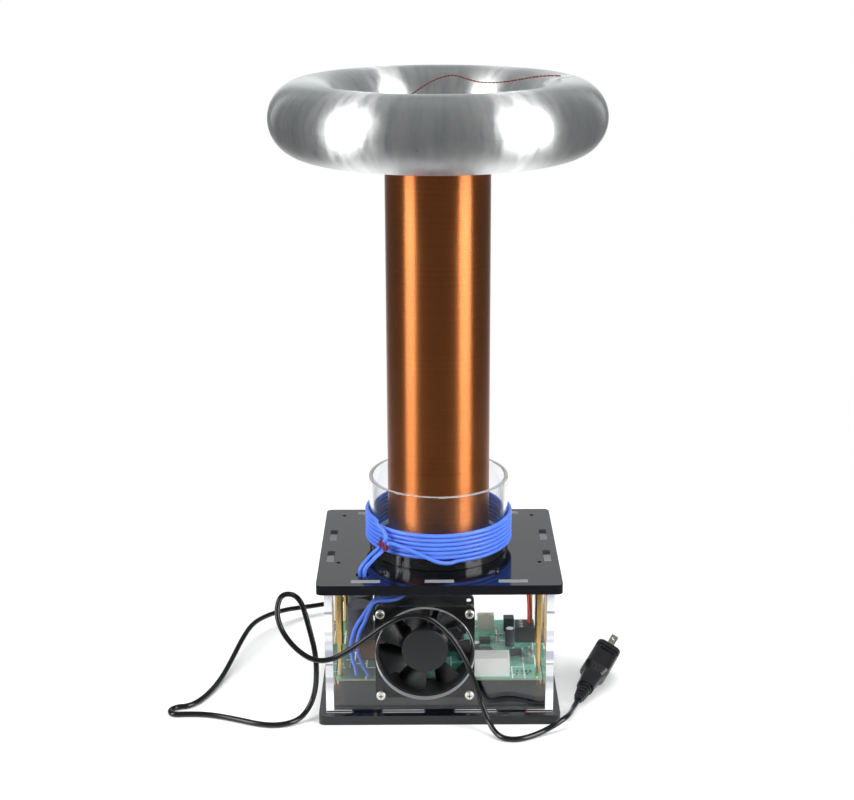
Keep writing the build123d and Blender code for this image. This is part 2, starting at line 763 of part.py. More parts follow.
# The ring is spun as an upper and a lower half shell with a fine seam between.
with BuildPart() as toroid:
    with BuildSketch(Plane.XZ):
        with Locations((toroid_radius, toroid_height)):
            Circle(toroid_section)
            Circle(toroid_section - toroid_skin, mode=Mode.SUBTRACT)
            Rectangle(3 * toroid_section, toroid_seam, mode=Mode.SUBTRACT)
    revolve(axis=Axis.Z)
toroid.part.label = "toroid"
export_step(toroid.part, "parts/toroid.step")

disc_hole_x = -26.5
disc_hole_y = 52
discharge_diameter = 1.2
with BuildPart() as toroid_disc:
    with BuildSketch(Plane.XY.offset(toroid_height - disc_thickness / 2)):
        Circle(inner_equator - disc_gap)
        Circle(3 + screw_clearance, mode=Mode.SUBTRACT)
        with Locations((disc_hole_x, disc_hole_y)):
            Circle(discharge_diameter / 2 + 0.3, mode=Mode.SUBTRACT)
    extrude(amount=disc_thickness)
toroid_disc.part.label = "toroid_disc"
export_step(toroid_disc.part, "parts/toroid_disc.step")

bolt_top = toroid_height + disc_thickness / 2
with BuildPart() as toroid_bolt:
    with BuildSketch(Plane.XY.offset(bolt_top)):
        RegularPolygon(5, 6, major_radius=False)
    extrude(amount=4)
    with BuildSketch(Plane.XY.offset(bolt_top)):
        Circle(3)
    extrude(amount=-(disc_thickness + cap_thickness + cap_plug + 8))
toroid_bolt.part.label = "toroid_bolt"
export_step(toroid_bolt.part, "parts/toroid_bolt.step")

with BuildPart() as toroid_nut:
    with BuildSketch(Plane.XY.offset(former_top - cap_plug)):
        RegularPolygon(5, 6, major_radius=False)
        Circle(3.05, mode=Mode.SUBTRACT)
    extrude(amount=-5)
toroid_nut.part.label = "toroid_nut"
export_step(toroid_nut.part, "parts/toroid_nut.step")

# ------------------------------------------------------------- wires and cord


def corner_radii(points):
    """Radius at each corner: 0.45 of the shorter run over the tangent of half the turn."""
    radii = []
    for before, corner, after in zip(points, points[1:], points[2:]):
        run_in = Vector(*corner) - Vector(*before)
        run_out = Vector(*after) - Vector(*corner)
        half_turn = math.radians(run_in.get_angle(run_out)) / 2
        radii.append(0.45 * min(run_in.length, run_out.length) / math.tan(half_turn))
    return radii


def round_tube(name, points, diameter):
    """A tube of one diameter along straight runs joined by tangent arcs."""
    radii = corner_radii(points)
    with BuildPart() as tube:
        with BuildLine() as path:
            FilletPolyline(*points, radius=radii)
        start = path.wires()[0] @ 0
        heading = path.wires()[0] % 0
        with BuildSketch(Plane(origin=start, z_dir=heading)):
            Circle(diameter / 2)
        sweep(path=path.wires()[0])
    length = path.wires()[0].length
    section = math.pi * diameter**2 / 4
    print(name, "length", round(length, 1), "smallest radius", round(min(radii), 2))
    print("  radii", [round(r, 1) for r in radii])
    print("  volume over section times length", round(tube.part.volume / (section * length), 4))
    tube.part.label = name
    export_step(tube.part, "parts/" + name + ".step")
    return tube


def biarc(start, start_way, end, end_way):
    """Two arcs that leave and arrive along the given directions, or one line where these agree."""
    p0, t0 = Vector(*start), Vector(*start_way).normalized()
    p1, t1 = Vector(*end), Vector(*end_way).normalized()
    chord = p1 - p0
    if chord.get_angle(t0) + chord.get_angle(t1) < 0.01:
        Line(p0, p1)
        return
    ways = t0 + t1
    spread = 2 - 2 * t0.dot(t1)
    reach = chord.dot(ways)
    if spread < 1e-9:
        handle = chord.dot(chord) / (2 * reach)
    else:
        handle = (math.sqrt(reach * reach + spread * chord.dot(chord)) - reach) / spread
    knee_in = p0 + t0 * handle
    knee_out = p1 - t1 * handle
    joint = (knee_in + knee_out) * 0.5
    TangentArc(p0, joint, tangent=t0)
    TangentArc(joint, p1, tangent=knee_out - knee_in)


def around(angle, radius, height):
    """Point at an angle in degrees round the coil's axis."""
    turn = math.radians(angle)
    return (radius * math.cos(turn), radius * math.sin(turn), height)


def helix_way(angle, climb):
    """Direction of the wire at an angle, climbing by a share of its run."""
    turn = math.radians(angle)
    return (-math.sin(turn), math.cos(turn), climb)


# The primary is one wire: up from the board through the plate's hole, bound in
# the tie, round the tube in seven rows from the bottom up, back to the tie and
# down to the board.
climb = wire_pitch / (2 * math.pi * wire_path_radius)
turn_span = wire_whole_turns * 360 + wire_turns_to - wire_turns_from
quarters = round(turn_span / 90)
first_row = top_face + wire_lowest
tie_level = top_face + tie_height

lead_in = (lead_hole_x + 1.8, lead_hole_y - 0.6)
lead_out = (lead_hole_x - 1.9, lead_hole_y + 0.8)
tie_reach = 6.4              # tie's middle outside the turns' middle
tie_half = 2
tie_middle = Vector(*around(tie_angle, wire_path_radius + wire_diameter + tie_reach, top_face + tie_height))
tie_way = Vector(0.62, 0.1, 0.78).normalized()
tie_side = Vector(-0.7, 0.45, 0.5)
tie_side = (tie_side - tie_way * tie_side.dot(tie_way)).normalized()
lead_spacing = wire_diameter + 0.7
tie_in = tie_middle - tie_side * (lead_spacing / 2)
tie_out = tie_middle + tie_side * (lead_spacing / 2)
down = (0, 0, -1)
up = (0, 0, 1)


def with_ways(stations):
    """Give each station without a direction the one between its neighbours."""
    filled = []
    for i, (spot, way) in enumerate(stations):
        if way is None:
            before, after = stations[i - 1][0], stations[i + 1][0]
            way = tuple(b - a for a, b in zip(before, after))
        filled.append((spot, way))
    return filled


lower_lead = with_ways([
    ((-68.8, -36, board_top + 0.3), up),
    ((-71.8, -41, fan_top - 59.4), None),
    ((-72.6, -47, fan_top - 45.8), None),
    ((-70.5, -53, fan_top - 33.4), None),
    ((-66.9, -57.5, fan_top - 22.4), None),
    ((-61.6, -61.5, fan_top - 12.6), None),
    ((-56.8, front_inner + 9.2, fan_top - 3.9), None),
    ((-51, front_inner + 8.2, fan_top + 3.2), (0.93, 0, 0.37)),
    ((-40.5, front_inner + 8.8, fan_top + 4), (1, 0.1, 0.03)),
    ((-32.5, -55.8, fan_top + 4.6), (0, 1, 0.05)),
    ((-42, -47.4, fan_top + 5.6), (-0.97, -0.2, 0.1)),
    ((-53, -53.5, fan_top + 7.1), (-0.68, -0.72, 0.15)),
    ((*lead_in, under_top), up),
    ((*lead_in, top_face + 2), up),
    ((-53, -60, top_face + 12), None),
    (tuple(tie_in - tie_way * tie_half), tuple(tie_way)),
    (tuple(tie_in + tie_way * tie_half), tuple(tie_way)),
    (around(-120, lead_path_radius + 1.2, top_face + 22), (0.9, -0.42, -0.12)),
    (around(-104, lead_path_radius + 0.5, top_face + 17), None),
    (around(-91, lead_path_radius, top_face + 11), None),
    (around(-82, lead_path_radius - 2, top_face + 9), None),
    (around(wire_turns_from, wire_path_radius, first_row), helix_way(wire_turns_from, climb)),
])[:-1]
upper_lead = with_ways([
    (around(wire_turns_to, wire_path_radius, 0), up),
    (around(-141.5, lead_path_radius + 0.2, top_face + 34), (0.5, -0.75, -0.35)),
    (around(-131.5, lead_path_radius + 2.2, top_face + 29.5), (0.3, -0.75, -0.65)),
    (tuple(tie_out + tie_way * tie_half), tuple(-tie_way)),
    (tuple(tie_out - tie_way * tie_half), tuple(-tie_way)),
    ((-57, -57, top_face + 12), None),
    ((*lead_out, top_face + 2), down),
    ((*lead_out, under_top), down),
    ((-58, -50.5, fan_top + 7.6), (0.62, 0.77, -0.15)),
    ((-44.5, -42.8, fan_top + 5.6), (0.97, 0.2, -0.05)),
    ((-28.3, -55.6, fan_top + 4.6), (0, -1, -0.05)),
    ((-40.5, front_inner + 4.8, fan_top + 3.8), (-1, -0.05, -0.03)),
    ((-51, front_inner + 4.1, fan_top + 3.2), (-0.93, 0, -0.37)),
    ((-56, front_inner + 5.7, fan_top - 4.9), None),
    ((-60, -63.2, fan_top - 16.8), None),
    ((-64.6, -58, fan_top - 28.4), None),
    ((-66.9, -52, fan_top - 40.9), None),
    ((-66.6, -45.5, fan_top - 53.9), None),
    ((-63.4, -40.5, board_top + 11.4), None),
    ((-59.5, -38, board_top + 0.3), down),
])[1:]
rows = []
for i in range(quarters + 1):
    swept = turn_span * i / quarters
    angle = wire_turns_from + swept
    height = first_row + wire_pitch * swept / 360
    rows.append((around(angle, wire_path_radius, height), helix_way(angle, climb)))
wire_nodes = lower_lead + rows + upper_lead


def least_gap(path, diameter, skip):
    """Least clear distance of a tube to itself, between points at least skip apart along it."""
    count = int(path.length)
    points = [path @ (i / count) for i in range(count + 1)]
    spacing = path.length / count
    reach = int(skip / spacing)
    least = path.length
    for i, here in enumerate(points):
        for there in points[i + reach::2]:
            if abs(there.Z - here.Z) < 2 * diameter and abs(there.X - here.X) < 2 * diameter:
                least = min(least, (there - here).length)
    return least - diameter


with BuildPart() as primary_winding:
    with BuildLine() as wire_line:
        for here, there in zip(wire_nodes, wire_nodes[1:]):
            biarc(here[0], here[1], there[0], there[1])
    wire_path = wire_line.wires()[0]
    with BuildSketch(Plane(origin=wire_nodes[0][0], z_dir=wire_nodes[0][1])):
        Circle(wire_diameter / 2)
    sweep(path=wire_path)
primary_winding.part.label = "primary_winding"
export_step(primary_winding.part, "parts/primary_winding.step")
wire_gap = least_gap(wire_path, wire_diameter, 14)
print("primary wire length", round(wire_path.length, 1), "least gap", round(wire_gap, 2))

# Twisted tie: three oval turns round both leads, with two short tails
tie_wire = 1.2
tie_turns = 3
tie_pitch = 1.7
tie_clearance = 0.5
tie_across = tie_way.cross(tie_side)
tie_long = lead_spacing / 2 + wire_diameter / 2 + tie_clearance + tie_wire / 2
tie_short = wire_diameter / 2 + tie_clearance + tie_wire / 2


def tie_point(turn):
    """Point and direction on the tie's oval helix at a share of its turns."""
    angle = 2 * math.pi * turn
    along = tie_pitch * (turn - tie_turns / 2)
    spot = tie_middle + tie_side * (tie_long * math.cos(angle)) + tie_across * (tie_short * math.sin(angle))
    way = tie_across * (tie_short * math.cos(angle)) - tie_side * (tie_long * math.sin(angle))
    return spot + tie_way * along, way + tie_way * (tie_pitch / (2 * math.pi))


with BuildPart() as lead_tie:
    with BuildLine() as tie_line:
        for quarter in range(4 * tie_turns):
            here, there = tie_point(quarter / 4), tie_point((quarter + 1) / 4)
            biarc(here[0], here[1], there[0], there[1])
        last, last_way = tie_point(tie_turns)
        Line(last, last + last_way.normalized() * 4.5)
    tie_path = tie_line.wires()[0]
    tie_start, tie_start_way = tie_point(0)
    with BuildSketch(Plane(origin=tie_start, z_dir=tie_start_way)):
        Circle(tie_wire / 2)
    sweep(path=tie_path)
lead_tie.part.label = "lead_tie"
export_step(lead_tie.part, "parts/lead_tie.step")
print("tie length", round(tie_path.length, 1), "least gap", round(least_gap(tie_path, tie_wire, 4), 2))

# Thin wire from the disc over the toroid's top, a point for the discharge to leave
discharge_route = [
    (disc_hole_x, disc_hole_y, toroid_height - disc_thickness / 2 - 1.5),
    (disc_hole_x + 0.2, disc_hole_y - 0.1, toroid_height + 6),
    (-19.5, 48.5, toroid_height + 12.1),
    (-8, 45, toroid_height + 20.1),
    (3, 42, toroid_height + 25.6),
    (13.5, 39.5, toroid_height + 27.6),
    (23, 37, toroid_height + 24.6),
    (35, 34, toroid_height + 21.6),
    (50, 29.5, toroid_height + 22.4),
    (64.5, 23.5, toroid_height + 25.4),
    (77.5, 16.5, toroid_height + 28.4),
    (87, 12.6, toroid_height + 29.5),
    (95.5, 12, toroid_height + 29.3),
]
discharge_wire = round_tube("discharge_wire", discharge_route, discharge_diameter)

# Two supply wires from the gland, over the board and down into the terminal block
supply_diameter = 1.8
supply_spacing = 2.6
supply_end_y = terminal_y + 9
supply_span = terminal_x + 4.3 - gland_x

supply_line = [
    (0, rear_inner - 5.3, gland_height, (-1, 0)),
    (0, rear_inner - 16, gland_height + 1, (-1, 0)),
    (0, rear_inner - 23, gland_height + 10, (-1, 0)),
    (0, rear_inner - 26.5, gland_height + 26, (-1, 0)),
    (0.5, rear_inner - 27.5, under_top - 37, (-1, 0)),
    (8, rear_inner - 28, under_top - 23, (-0.8, 0.6)),
    (26, rear_inner - 28.5, under_top - 15, (-0.3, 0.95)),
    (50, rear_inner - 30, under_top - 11, (0, 1)),
    (76, supply_end_y + 6.5, under_top - 9.5, (0, 1)),
    (supply_span - 29, supply_end_y + 3.5, under_top - 10, (0.2, 0.98)),
    (supply_span - 11, supply_end_y + 1.5, under_top - 15, (0.7, 0.7)),
    (supply_span - 3.5, supply_end_y + 0.5, under_top - 30, (1, 0.1)),
    (supply_span - 1, supply_end_y, board_top + 43.4, (1, 0)),
    (supply_span, supply_end_y, board_top + 26.4, (1, 0)),
    (supply_span, supply_end_y, board_top + 14.3, (1, 0)),
]


def supply_route(side):
    """One of the two wires: the pair lies side by side and turns as one."""
    shift = side * supply_spacing / 2
    return [
        (gland_x + along + shift * out, y, z + shift * rise)
        for along, y, z, (out, rise) in supply_line
    ]


supply_wire_red = round_tube("supply_wire_red", supply_route(-1), supply_diameter)
supply_wire_brown = round_tube("supply_wire_brown", supply_route(1), supply_diameter)

# Gland: a flanged bush clamped in the rear panel by a nut, with a ribbed tail
gland_plane = Plane(origin=(gland_x, rear_face, gland_height), x_dir=(1, 0, 0), z_dir=(0, 1, 0))
gland_thread = 11
tail_root = 5
tail_tip = 3.25
rib_count = 6
rib_height = 0.6
with BuildPart() as cord_gland:
    with BuildSketch(gland_plane):
        Circle(gland_flange / 2)
    extrude(amount=gland_flange_thickness)
    fillet(cord_gland.edges().group_by(Axis.Y)[-1], 0.8)
    with BuildSketch(gland_plane):
        Circle(gland_hole / 2)
    extrude(amount=-gland_thread)
    with BuildSketch(gland_plane.offset(gland_flange_thickness)):
        Circle(tail_root)
    with BuildSketch(gland_plane.offset(gland_flange_thickness + gland_tail)):
        Circle(tail_tip)
    loft()
    tail_step = gland_tail / (rib_count + 1)
    for rib in range(1, rib_count + 1):
        rib_radius = tail_root - (tail_root - tail_tip) * rib / (rib_count + 1) + rib_height
        with BuildSketch(gland_plane.offset(gland_flange_thickness + rib * tail_step)):
            Circle(rib_radius)
        extrude(amount=1.2)
cord_gland.part.label = "cord_gland"
export_step(cord_gland.part, "parts/cord_gland.step")

with BuildPart() as gland_nut:
    with BuildSketch(gland_plane.offset(-panel_thickness)):
        RegularPolygon(6.5, 6, major_radius=False)
        Circle(gland_hole / 2 + 0.05, mode=Mode.SUBTRACT)
    extrude(amount=-4)
gland_nut.part.label = "gland_nut"
export_step(gland_nut.part, "parts/gland_nut.step")

# Plug, lying rolled on one edge of its body. Its own plane has x across the body,
# y through its thickness and z along it from the cord to the blades.
plug_heading = math.radians(25)
plug_pitch = math.radians(11)
plug_roll = math.radians(27)
plug_end = Vector(114.8, -53, 5.5)
plug_axis = Vector(
    math.sin(plug_heading) * math.cos(plug_pitch),
    math.cos(plug_heading) * math.cos(plug_pitch),
    math.sin(plug_pitch),
)
plug_level = Vector(math.cos(plug_heading), -math.sin(plug_heading), 0)
plug_up = plug_level.cross(plug_axis)
plug_across = plug_level * math.cos(plug_roll) - plug_up * math.sin(plug_roll)
plug_plane = Plane(origin=plug_end, x_dir=plug_across, z_dir=plug_axis)

relief_length = 17.5
grip_length = 18.5
body_length = 34
body_width = 22
body_height = 22
body_corner = 5
grip_width = 17
grip_height = 15
relief_tip = 3.5
relief_root = 5.5
relief_ribs = 4
recess_width = 13
recess_length = 20
recess_depth = 1
groove_depth = 0.8

with BuildPart() as mains_plug:
    with BuildSketch(plug_plane):
        Circle(relief_tip)
    with BuildSketch(plug_plane.offset(relief_length)):
        Circle(relief_root)
    loft()
    for rib in range(1, relief_ribs + 1):
        rib_place = rib * relief_length / (relief_ribs + 1)
        with BuildSketch(plug_plane.offset(rib_place)):
            Circle(relief_tip + (relief_root - relief_tip) * rib / (relief_ribs + 1) + 0.8)
        extrude(amount=1.8)
    with BuildSketch(plug_plane.offset(relief_length)):
        RectangleRounded(grip_width - 3, grip_height - 3, 4)
    with BuildSketch(plug_plane.offset(relief_length + grip_length)):
        RectangleRounded(grip_width, grip_height, 4)
    loft()
    with BuildSketch(plug_plane.offset(relief_length + grip_length - 2)):
        RectangleRounded(grip_width, grip_height, 4)
    with BuildSketch(plug_plane.offset(relief_length + grip_length + 4)):
        RectangleRounded(body_width, body_height, body_corner)
    loft()
    with BuildSketch(plug_plane.offset(relief_length + grip_length + 4)):
        RectangleRounded(body_width, body_height, body_corner)
    extrude(amount=body_length - 4)
    plug_front = relief_length + grip_length + body_length
    with BuildSketch(plug_plane.offset(plug_front - 7)):
        RectangleRounded(body_width + 2, body_height + 2, body_corner)
        RectangleRounded(
            body_width - 2 * groove_depth, body_height - 2 * groove_depth, body_corner - groove_depth,
            mode=Mode.SUBTRACT,
        )
    extrude(amount=1.6, mode=Mode.SUBTRACT)
    for face_side in (-1, 1):
        recess_spot = plug_plane.location * Location((0, face_side * body_height / 2, plug_front - 19))
        with Locations(recess_spot):
            Box(recess_width, 2 * recess_depth, recess_length, mode=Mode.SUBTRACT)
mains_plug.part.label = "mains_plug"
export_step(mains_plug.part, "parts/mains_plug.step")
print("plug's lowest point", round(mains_plug.part.bounding_box().min.Z, 2))

blade_width = 6.35
blade_thickness = 1.5
blade_spacing = 12.7
blade_length = 17
blade_hole = 3
with BuildPart() as plug_blades:
    with BuildSketch(plug_plane.offset(plug_front)):
        with GridLocations(0, blade_spacing, 1, 2):
            Rectangle(blade_width, blade_thickness)
    extrude(amount=blade_length)
    hole_spot = plug_plane.from_local_coords((0, 0, plug_front + blade_length - 5))
    with BuildSketch(Plane(origin=hole_spot, x_dir=plug_axis, z_dir=plug_plane.y_dir)):
        Circle(blade_hole / 2)
    extrude(amount=blade_spacing, both=True, mode=Mode.SUBTRACT)
plug_blades.part.label = "plug_blades"
export_step(plug_blades.part, "parts/plug_blades.step")

# Mains cord: from the gland's tail behind the box, along the floor on the left,
# up in a standing loop, over in an arch before the fan and down to the plug
cord_last = plug_end - plug_axis * 12
cord_route = [
    (gland_x, rear_face + gland_flange_thickness + gland_tail, gland_height),
    (gland_x, 121.5, gland_height),
    (-60, 136, 28.5),
    (-78, 140.5, 18.5),
    (-98, 135, 10),
    (-122, 127.5, 9.5),
    (-140, 114, 13),
    (-155.5, 96, 15.5),
    (-167, 75, 17),
    (-174, 50, 13),
    (-179.5, 24, 7.5),
    (-185.5, -4, 3.2),
    (-192, -28, 2.3),
    (-199.5, -46, 2.3),
    (-208, -55.5, 2.3),
    (-217.5, -56.5, 2.3),
    (-222.5, -63.5, 2.3),
    (-218, -70.3, 2.3),
    (-207, -68.8, 2.3),
    (-188, -69.8, 2.3),
    (-166, -78, 2.3),
    (-143, -88.5, 2.3),
    (-126, -88.5, 2.3),
    (-113.5, -80.5, 3),
    (-106, -74, 10.5),
    (-101.5, -71.7, 22),
    (-99.7, -71.7, 38),
    (-100.3, -69.5, 56),
    (-104.3, -66, 73),
    (-108.5, -61.5, 88),
    (-111.8, -59.5, 98),
    (-118.2, -59, 104.3),
    (-127, -62, 105),
    (-130.5, -67, 97.5),
    (-130, -72, 87.5),
    (-124.5, -78, 76.5),
    (-113.5, -84.5, 66),
    (-101, -88.5, 59.3),
    (-87.5, -89, 59.5),
    (-73, -89, 67.5),
    (-55, -89.2, 81),
    (-39.5, -89, 92.8),
    (-25, -89, 99),
    (-9.5, -89, 97.5),
    (4, -89, 86.5),
    (15.5, -89.5, 71),
    (24, -90.5, 52),
    (30, -91.5, 34),
    (34.5, -93, 20),
    (38.8, -97, 10.5),
    (43, -104.5, 4.6),
    (49.5, -112.3, 2.4),
    (59.5, -114.6, 2.3),
    (70.2, -110.7, 2.3),
    (81, -103.3, 2.6),
    (92.3, -98.3, 6.3),
    (101.8, -92, 9.8),
    (106.3, -80.5, 7.6),
    tuple(cord_last),
    tuple(plug_end),
]
mains_cord = round_tube("mains_cord", cord_route, cord_diameter)
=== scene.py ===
import math

import bpy
import numpy as np
from mathutils import Matrix, Vector


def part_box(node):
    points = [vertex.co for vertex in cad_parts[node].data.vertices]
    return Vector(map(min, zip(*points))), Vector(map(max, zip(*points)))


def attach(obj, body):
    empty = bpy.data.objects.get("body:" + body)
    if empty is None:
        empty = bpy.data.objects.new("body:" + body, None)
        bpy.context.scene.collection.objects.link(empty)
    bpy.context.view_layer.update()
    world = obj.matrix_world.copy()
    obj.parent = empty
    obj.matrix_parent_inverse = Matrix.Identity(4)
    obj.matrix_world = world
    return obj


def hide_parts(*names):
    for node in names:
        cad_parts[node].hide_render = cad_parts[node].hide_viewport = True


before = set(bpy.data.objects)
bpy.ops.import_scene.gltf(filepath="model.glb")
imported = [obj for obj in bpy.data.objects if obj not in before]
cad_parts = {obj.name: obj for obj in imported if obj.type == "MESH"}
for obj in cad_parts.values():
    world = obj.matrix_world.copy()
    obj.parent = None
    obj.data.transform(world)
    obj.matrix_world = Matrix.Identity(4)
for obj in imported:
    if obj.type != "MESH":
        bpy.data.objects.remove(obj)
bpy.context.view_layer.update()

# ---------------------------------------------------------------- camera
# The photograph's viewpoint: a long lens above the toroid's height, looking down 17 degrees.
photo_width = 854
focal_length_in_pixels = 1674.7
camera_data = bpy.data.cameras.new("camera")
camera_data.sensor_width = 36
camera_data.lens = focal_length_in_pixels * camera_data.sensor_width / photo_width
camera_data.clip_end = 50
camera = bpy.data.objects.new("camera", camera_data)
bpy.context.scene.collection.objects.link(camera)
camera.matrix_world = (
    Matrix.Translation((-0.00922, -1.30578, 0.65002))
    @ Matrix.Rotation(math.radians(90 - 17.058), 4, "X")
    @ Matrix.Rotation(math.radians(-0.239), 4, "Z")
)
bpy.context.scene.camera = camera
bpy.context.scene.view_settings.view_transform = "Standard"

# ---------------------------------------------------------------- floor, backdrop and lamps
# A white table with a white backdrop behind it, two tall soft lamps in front at either side and
# a broad soft lamp above. Near the object the table is lit and keeps the shadow, farther off it
# is white. Metal and plastic mirror the backdrop, the table's near part and the dim studio.


class Shade:
    """A number that varies over a surface: one socket, and arithmetic that adds Math nodes."""

    def __init__(self, finish, socket):
        self.finish, self.socket = finish, socket

    def math(self, operation, *values, clamp=False):
        settings = {"operation": operation, "use_clamp": clamp}
        node = self.finish.node("ShaderNodeMath", settings, dict(enumerate(values)))
        return Shade(self.finish, node.outputs[0])

    def __add__(self, other):
        return self.math("ADD", self, other)

    def __radd__(self, other):
        return self.math("ADD", other, self)

    def __sub__(self, other):
        return self.math("SUBTRACT", self, other)

    def __rsub__(self, other):
        return self.math("SUBTRACT", other, self)

    def __mul__(self, other):
        return self.math("MULTIPLY", self, other)

    def __rmul__(self, other):
        return self.math("MULTIPLY", other, self)

    def __truediv__(self, other):
        return self.math("DIVIDE", self, other)

    def absolute(self):
        return self.math("ABSOLUTE", self)

    def larger(self, other):
        return self.math("MAXIMUM", self, other)

    def hypot(self, other):
        """Long side of the right triangle whose short sides are the two numbers."""
        return self.math("SQRT", self * self + other * other)

    def above(self, edge, softness):
        """0 below the edge, 1 above it, rising over the softness."""
        return self.math("MULTIPLY", (self - edge) / softness + 0.5, 1, clamp=True)


class Finish:
    """A material: its node tree and its Principled shader, with constants on the shader's sockets."""

    def __init__(self, name, **constants):
        self.material = bpy.data.materials.new(name)
        self.material.use_nodes = True
        self.tree = self.material.node_tree
        self.shader = self.tree.nodes["Principled BSDF"]
        self.set(self.shader, constants)
        self.place = self.node("ShaderNodeTexCoord", {}, {})

    def set(self, node, inputs):
        """Links or sets a node's inputs, each named by its place or its name."""
        for key, value in inputs.items():
            socket = node.inputs[key.replace("_", " ") if isinstance(key, str) else key]
            if isinstance(value, Shade):
                value = value.socket
            if isinstance(value, bpy.types.NodeSocket):
                self.tree.links.new(value, socket)
            else:
                socket.default_value = value

    def node(self, kind, settings, inputs):
        """A new node of a kind, with its settings and its inputs."""
        made = self.tree.nodes.new(kind)
        for key, value in settings.items():
            setattr(made, key, value)
        self.set(made, inputs)
        return made

    def at(self):
        """Object position as three numbers, in metres."""
        split = self.node("ShaderNodeSeparateXYZ", {}, {0: self.place.outputs["Object"]})
        return [Shade(self, split.outputs[i]) for i in range(3)]

    def facing(self):
        """Surface direction as three numbers, each from 0 for square to that axis to 1 for along it."""
        split = self.node("ShaderNodeSeparateXYZ", {}, {0: self.place.outputs["Normal"]})
        return [Shade(self, split.outputs[i]).absolute() for i in range(3)]

    def mapped(self, scale, turn=(0, 0, 0)):
        """Object position, scaled and turned."""
        inputs = {"Vector": self.place.outputs["Object"], "Scale": scale, "Rotation": turn}
        return self.node("ShaderNodeMapping", {}, inputs).outputs[0]

    def noise(self, scale, detail=3, roughness=0.5, vector=None):
        vector = vector or self.place.outputs["Object"]
        inputs = {"Vector": vector, "Scale": scale, "Detail": detail, "Roughness": roughness}
        return Shade(self, self.node("ShaderNodeTexNoise", {}, inputs).outputs[0])

    def blend(self, factor, low, high):
        """Colour that goes from low to high with the factor."""
        inputs = {0: factor, 6: low, 7: high}
        return self.node("ShaderNodeMix", {"data_type": "RGBA"}, inputs).outputs[2]

    def dent(self, height, strength, distance):
        """Bump of the given height, its strength and its depth in metres, on the shader's normal."""
        inputs = {"Height": height, "Strength": strength, "Distance": distance}
        bump = self.node("ShaderNodeBump", {}, inputs)
        self.set(self.shader, {"Normal": bump.outputs[0]})

    def mix(self, factor, other, base=None):
        """Puts another shader over this one by a factor, as the material's surface."""
        out = self.tree.nodes["Material Output"]
        base = base or self.shader.outputs[0]
        inputs = {0: factor, 1: base, 2: other}
        mixed = self.node("ShaderNodeMixShader", {}, inputs).outputs[0]
        self.tree.links.new(mixed, out.inputs["Surface"])
        return mixed


def grid_faces(rows, columns, around, shut):
    """Row and column of each face of a grid, and its four corners' numbers. Around joins the
    last column to the first, and shut joins the last row to the first."""
    step = np.arange(columns if around else columns - 1)
    level = np.arange(rows if shut else rows - 1)
    low, left = (index.ravel() for index in np.meshgrid(level, step, indexing="ij"))
    high, right = (low + 1) % rows, (left + 1) % columns
    corners = np.stack([low * columns + left, low * columns + right,
                        high * columns + right, high * columns + left], axis=1)
    return low, left, corners


def piece_of(name, mesh, finish):
    """The object that shows a mesh in a finish, on the body that stands still."""
    mesh.materials.append(finish.material)
    mesh.validate()
    mesh.update()
    piece = bpy.data.objects.new(name, mesh)
    bpy.context.scene.collection.objects.link(piece)
    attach(piece, "base")
    return piece


def surface(name, grid, finish, around=True, shut=False, caps=False):
    """A smooth mesh from a grid of points, rows by columns, with a map of its rows and columns.
    Caps closes the first and the last row with a face each."""
    rows, columns = grid.shape[:2]
    low, left, corners = grid_faces(rows, columns, around, shut)
    faces = corners.tolist()
    if caps:
        faces += [list(range(columns))[::-1], list(range((rows - 1) * columns, rows * columns))]
    mesh = bpy.data.meshes.new(name)
    mesh.from_pydata(grid.reshape(-1, 3).tolist(), [], faces)
    uv = mesh.uv_layers.new(name="UVMap")
    uv_at = np.zeros((len(mesh.loops), 2), np.float32)
    across = np.stack([left, left + 1, left + 1, left], axis=1) / columns
    along = np.stack([low, low, low + 1, low + 1], axis=1) / rows
    uv_at[:across.size] = np.stack([across.ravel(), along.ravel()], axis=1)
    uv.data.foreach_set("uv", uv_at.ravel())
    mesh.polygons.foreach_set("use_smooth", np.ones(len(mesh.polygons), bool))
    return piece_of(name, mesh, finish)


floor_finish = Finish("floor_paper", Base_Color=(0.95, 0.95, 0.95, 1), Roughness=0.6)
floor_x, floor_y, _ = floor_finish.at()
floor_far = floor_x.hypot(floor_y)
floor_side = floor_x.absolute()
light_path = floor_finish.node("ShaderNodeLightPath", {}, {})
seen = Shade(floor_finish, light_path.outputs["Is Camera Ray"])
mirrored = Shade(floor_finish, light_path.outputs["Is Glossy Ray"])
white_glow = floor_finish.node("ShaderNodeEmission", {}, {"Color": (1, 1, 1, 1), "Strength": 1.0})
dim_glow = floor_finish.node("ShaderNodeEmission", {}, {"Color": (0.95, 0.98, 1, 1), "Strength": 0.16})
lit_strip = 1 - (floor_side - 0.24 * floor_y).above(0.27, 0.16)
studio = 1 - floor_y.above(-0.2, 0.12) * lit_strip
paper = floor_finish.mix(seen * floor_far.above(0.45, 0.5), white_glow.outputs[0])
paper = floor_finish.mix(mirrored * floor_y.above(0.4, 0.3), white_glow.outputs[0], base=paper)
floor_finish.mix(mirrored * studio, dim_glow.outputs[0], base=paper)
floor_reach = 7
floor_span = np.linspace(-floor_reach, floor_reach, 15)
floor_x_at, floor_y_at = np.meshgrid(floor_span, floor_span)
floor_grid = np.stack([floor_x_at, floor_y_at, np.zeros_like(floor_x_at)], axis=2)
floor = surface("floor", floor_grid, floor_finish, around=False)

world = bpy.data.worlds.new("room")
bpy.context.scene.world = world
world.use_nodes = True
room = world.node_tree
direction = room.nodes.new("ShaderNodeTexCoord")
split = room.nodes.new("ShaderNodeSeparateXYZ")
room.links.new(direction.outputs["Generated"], split.inputs[0])


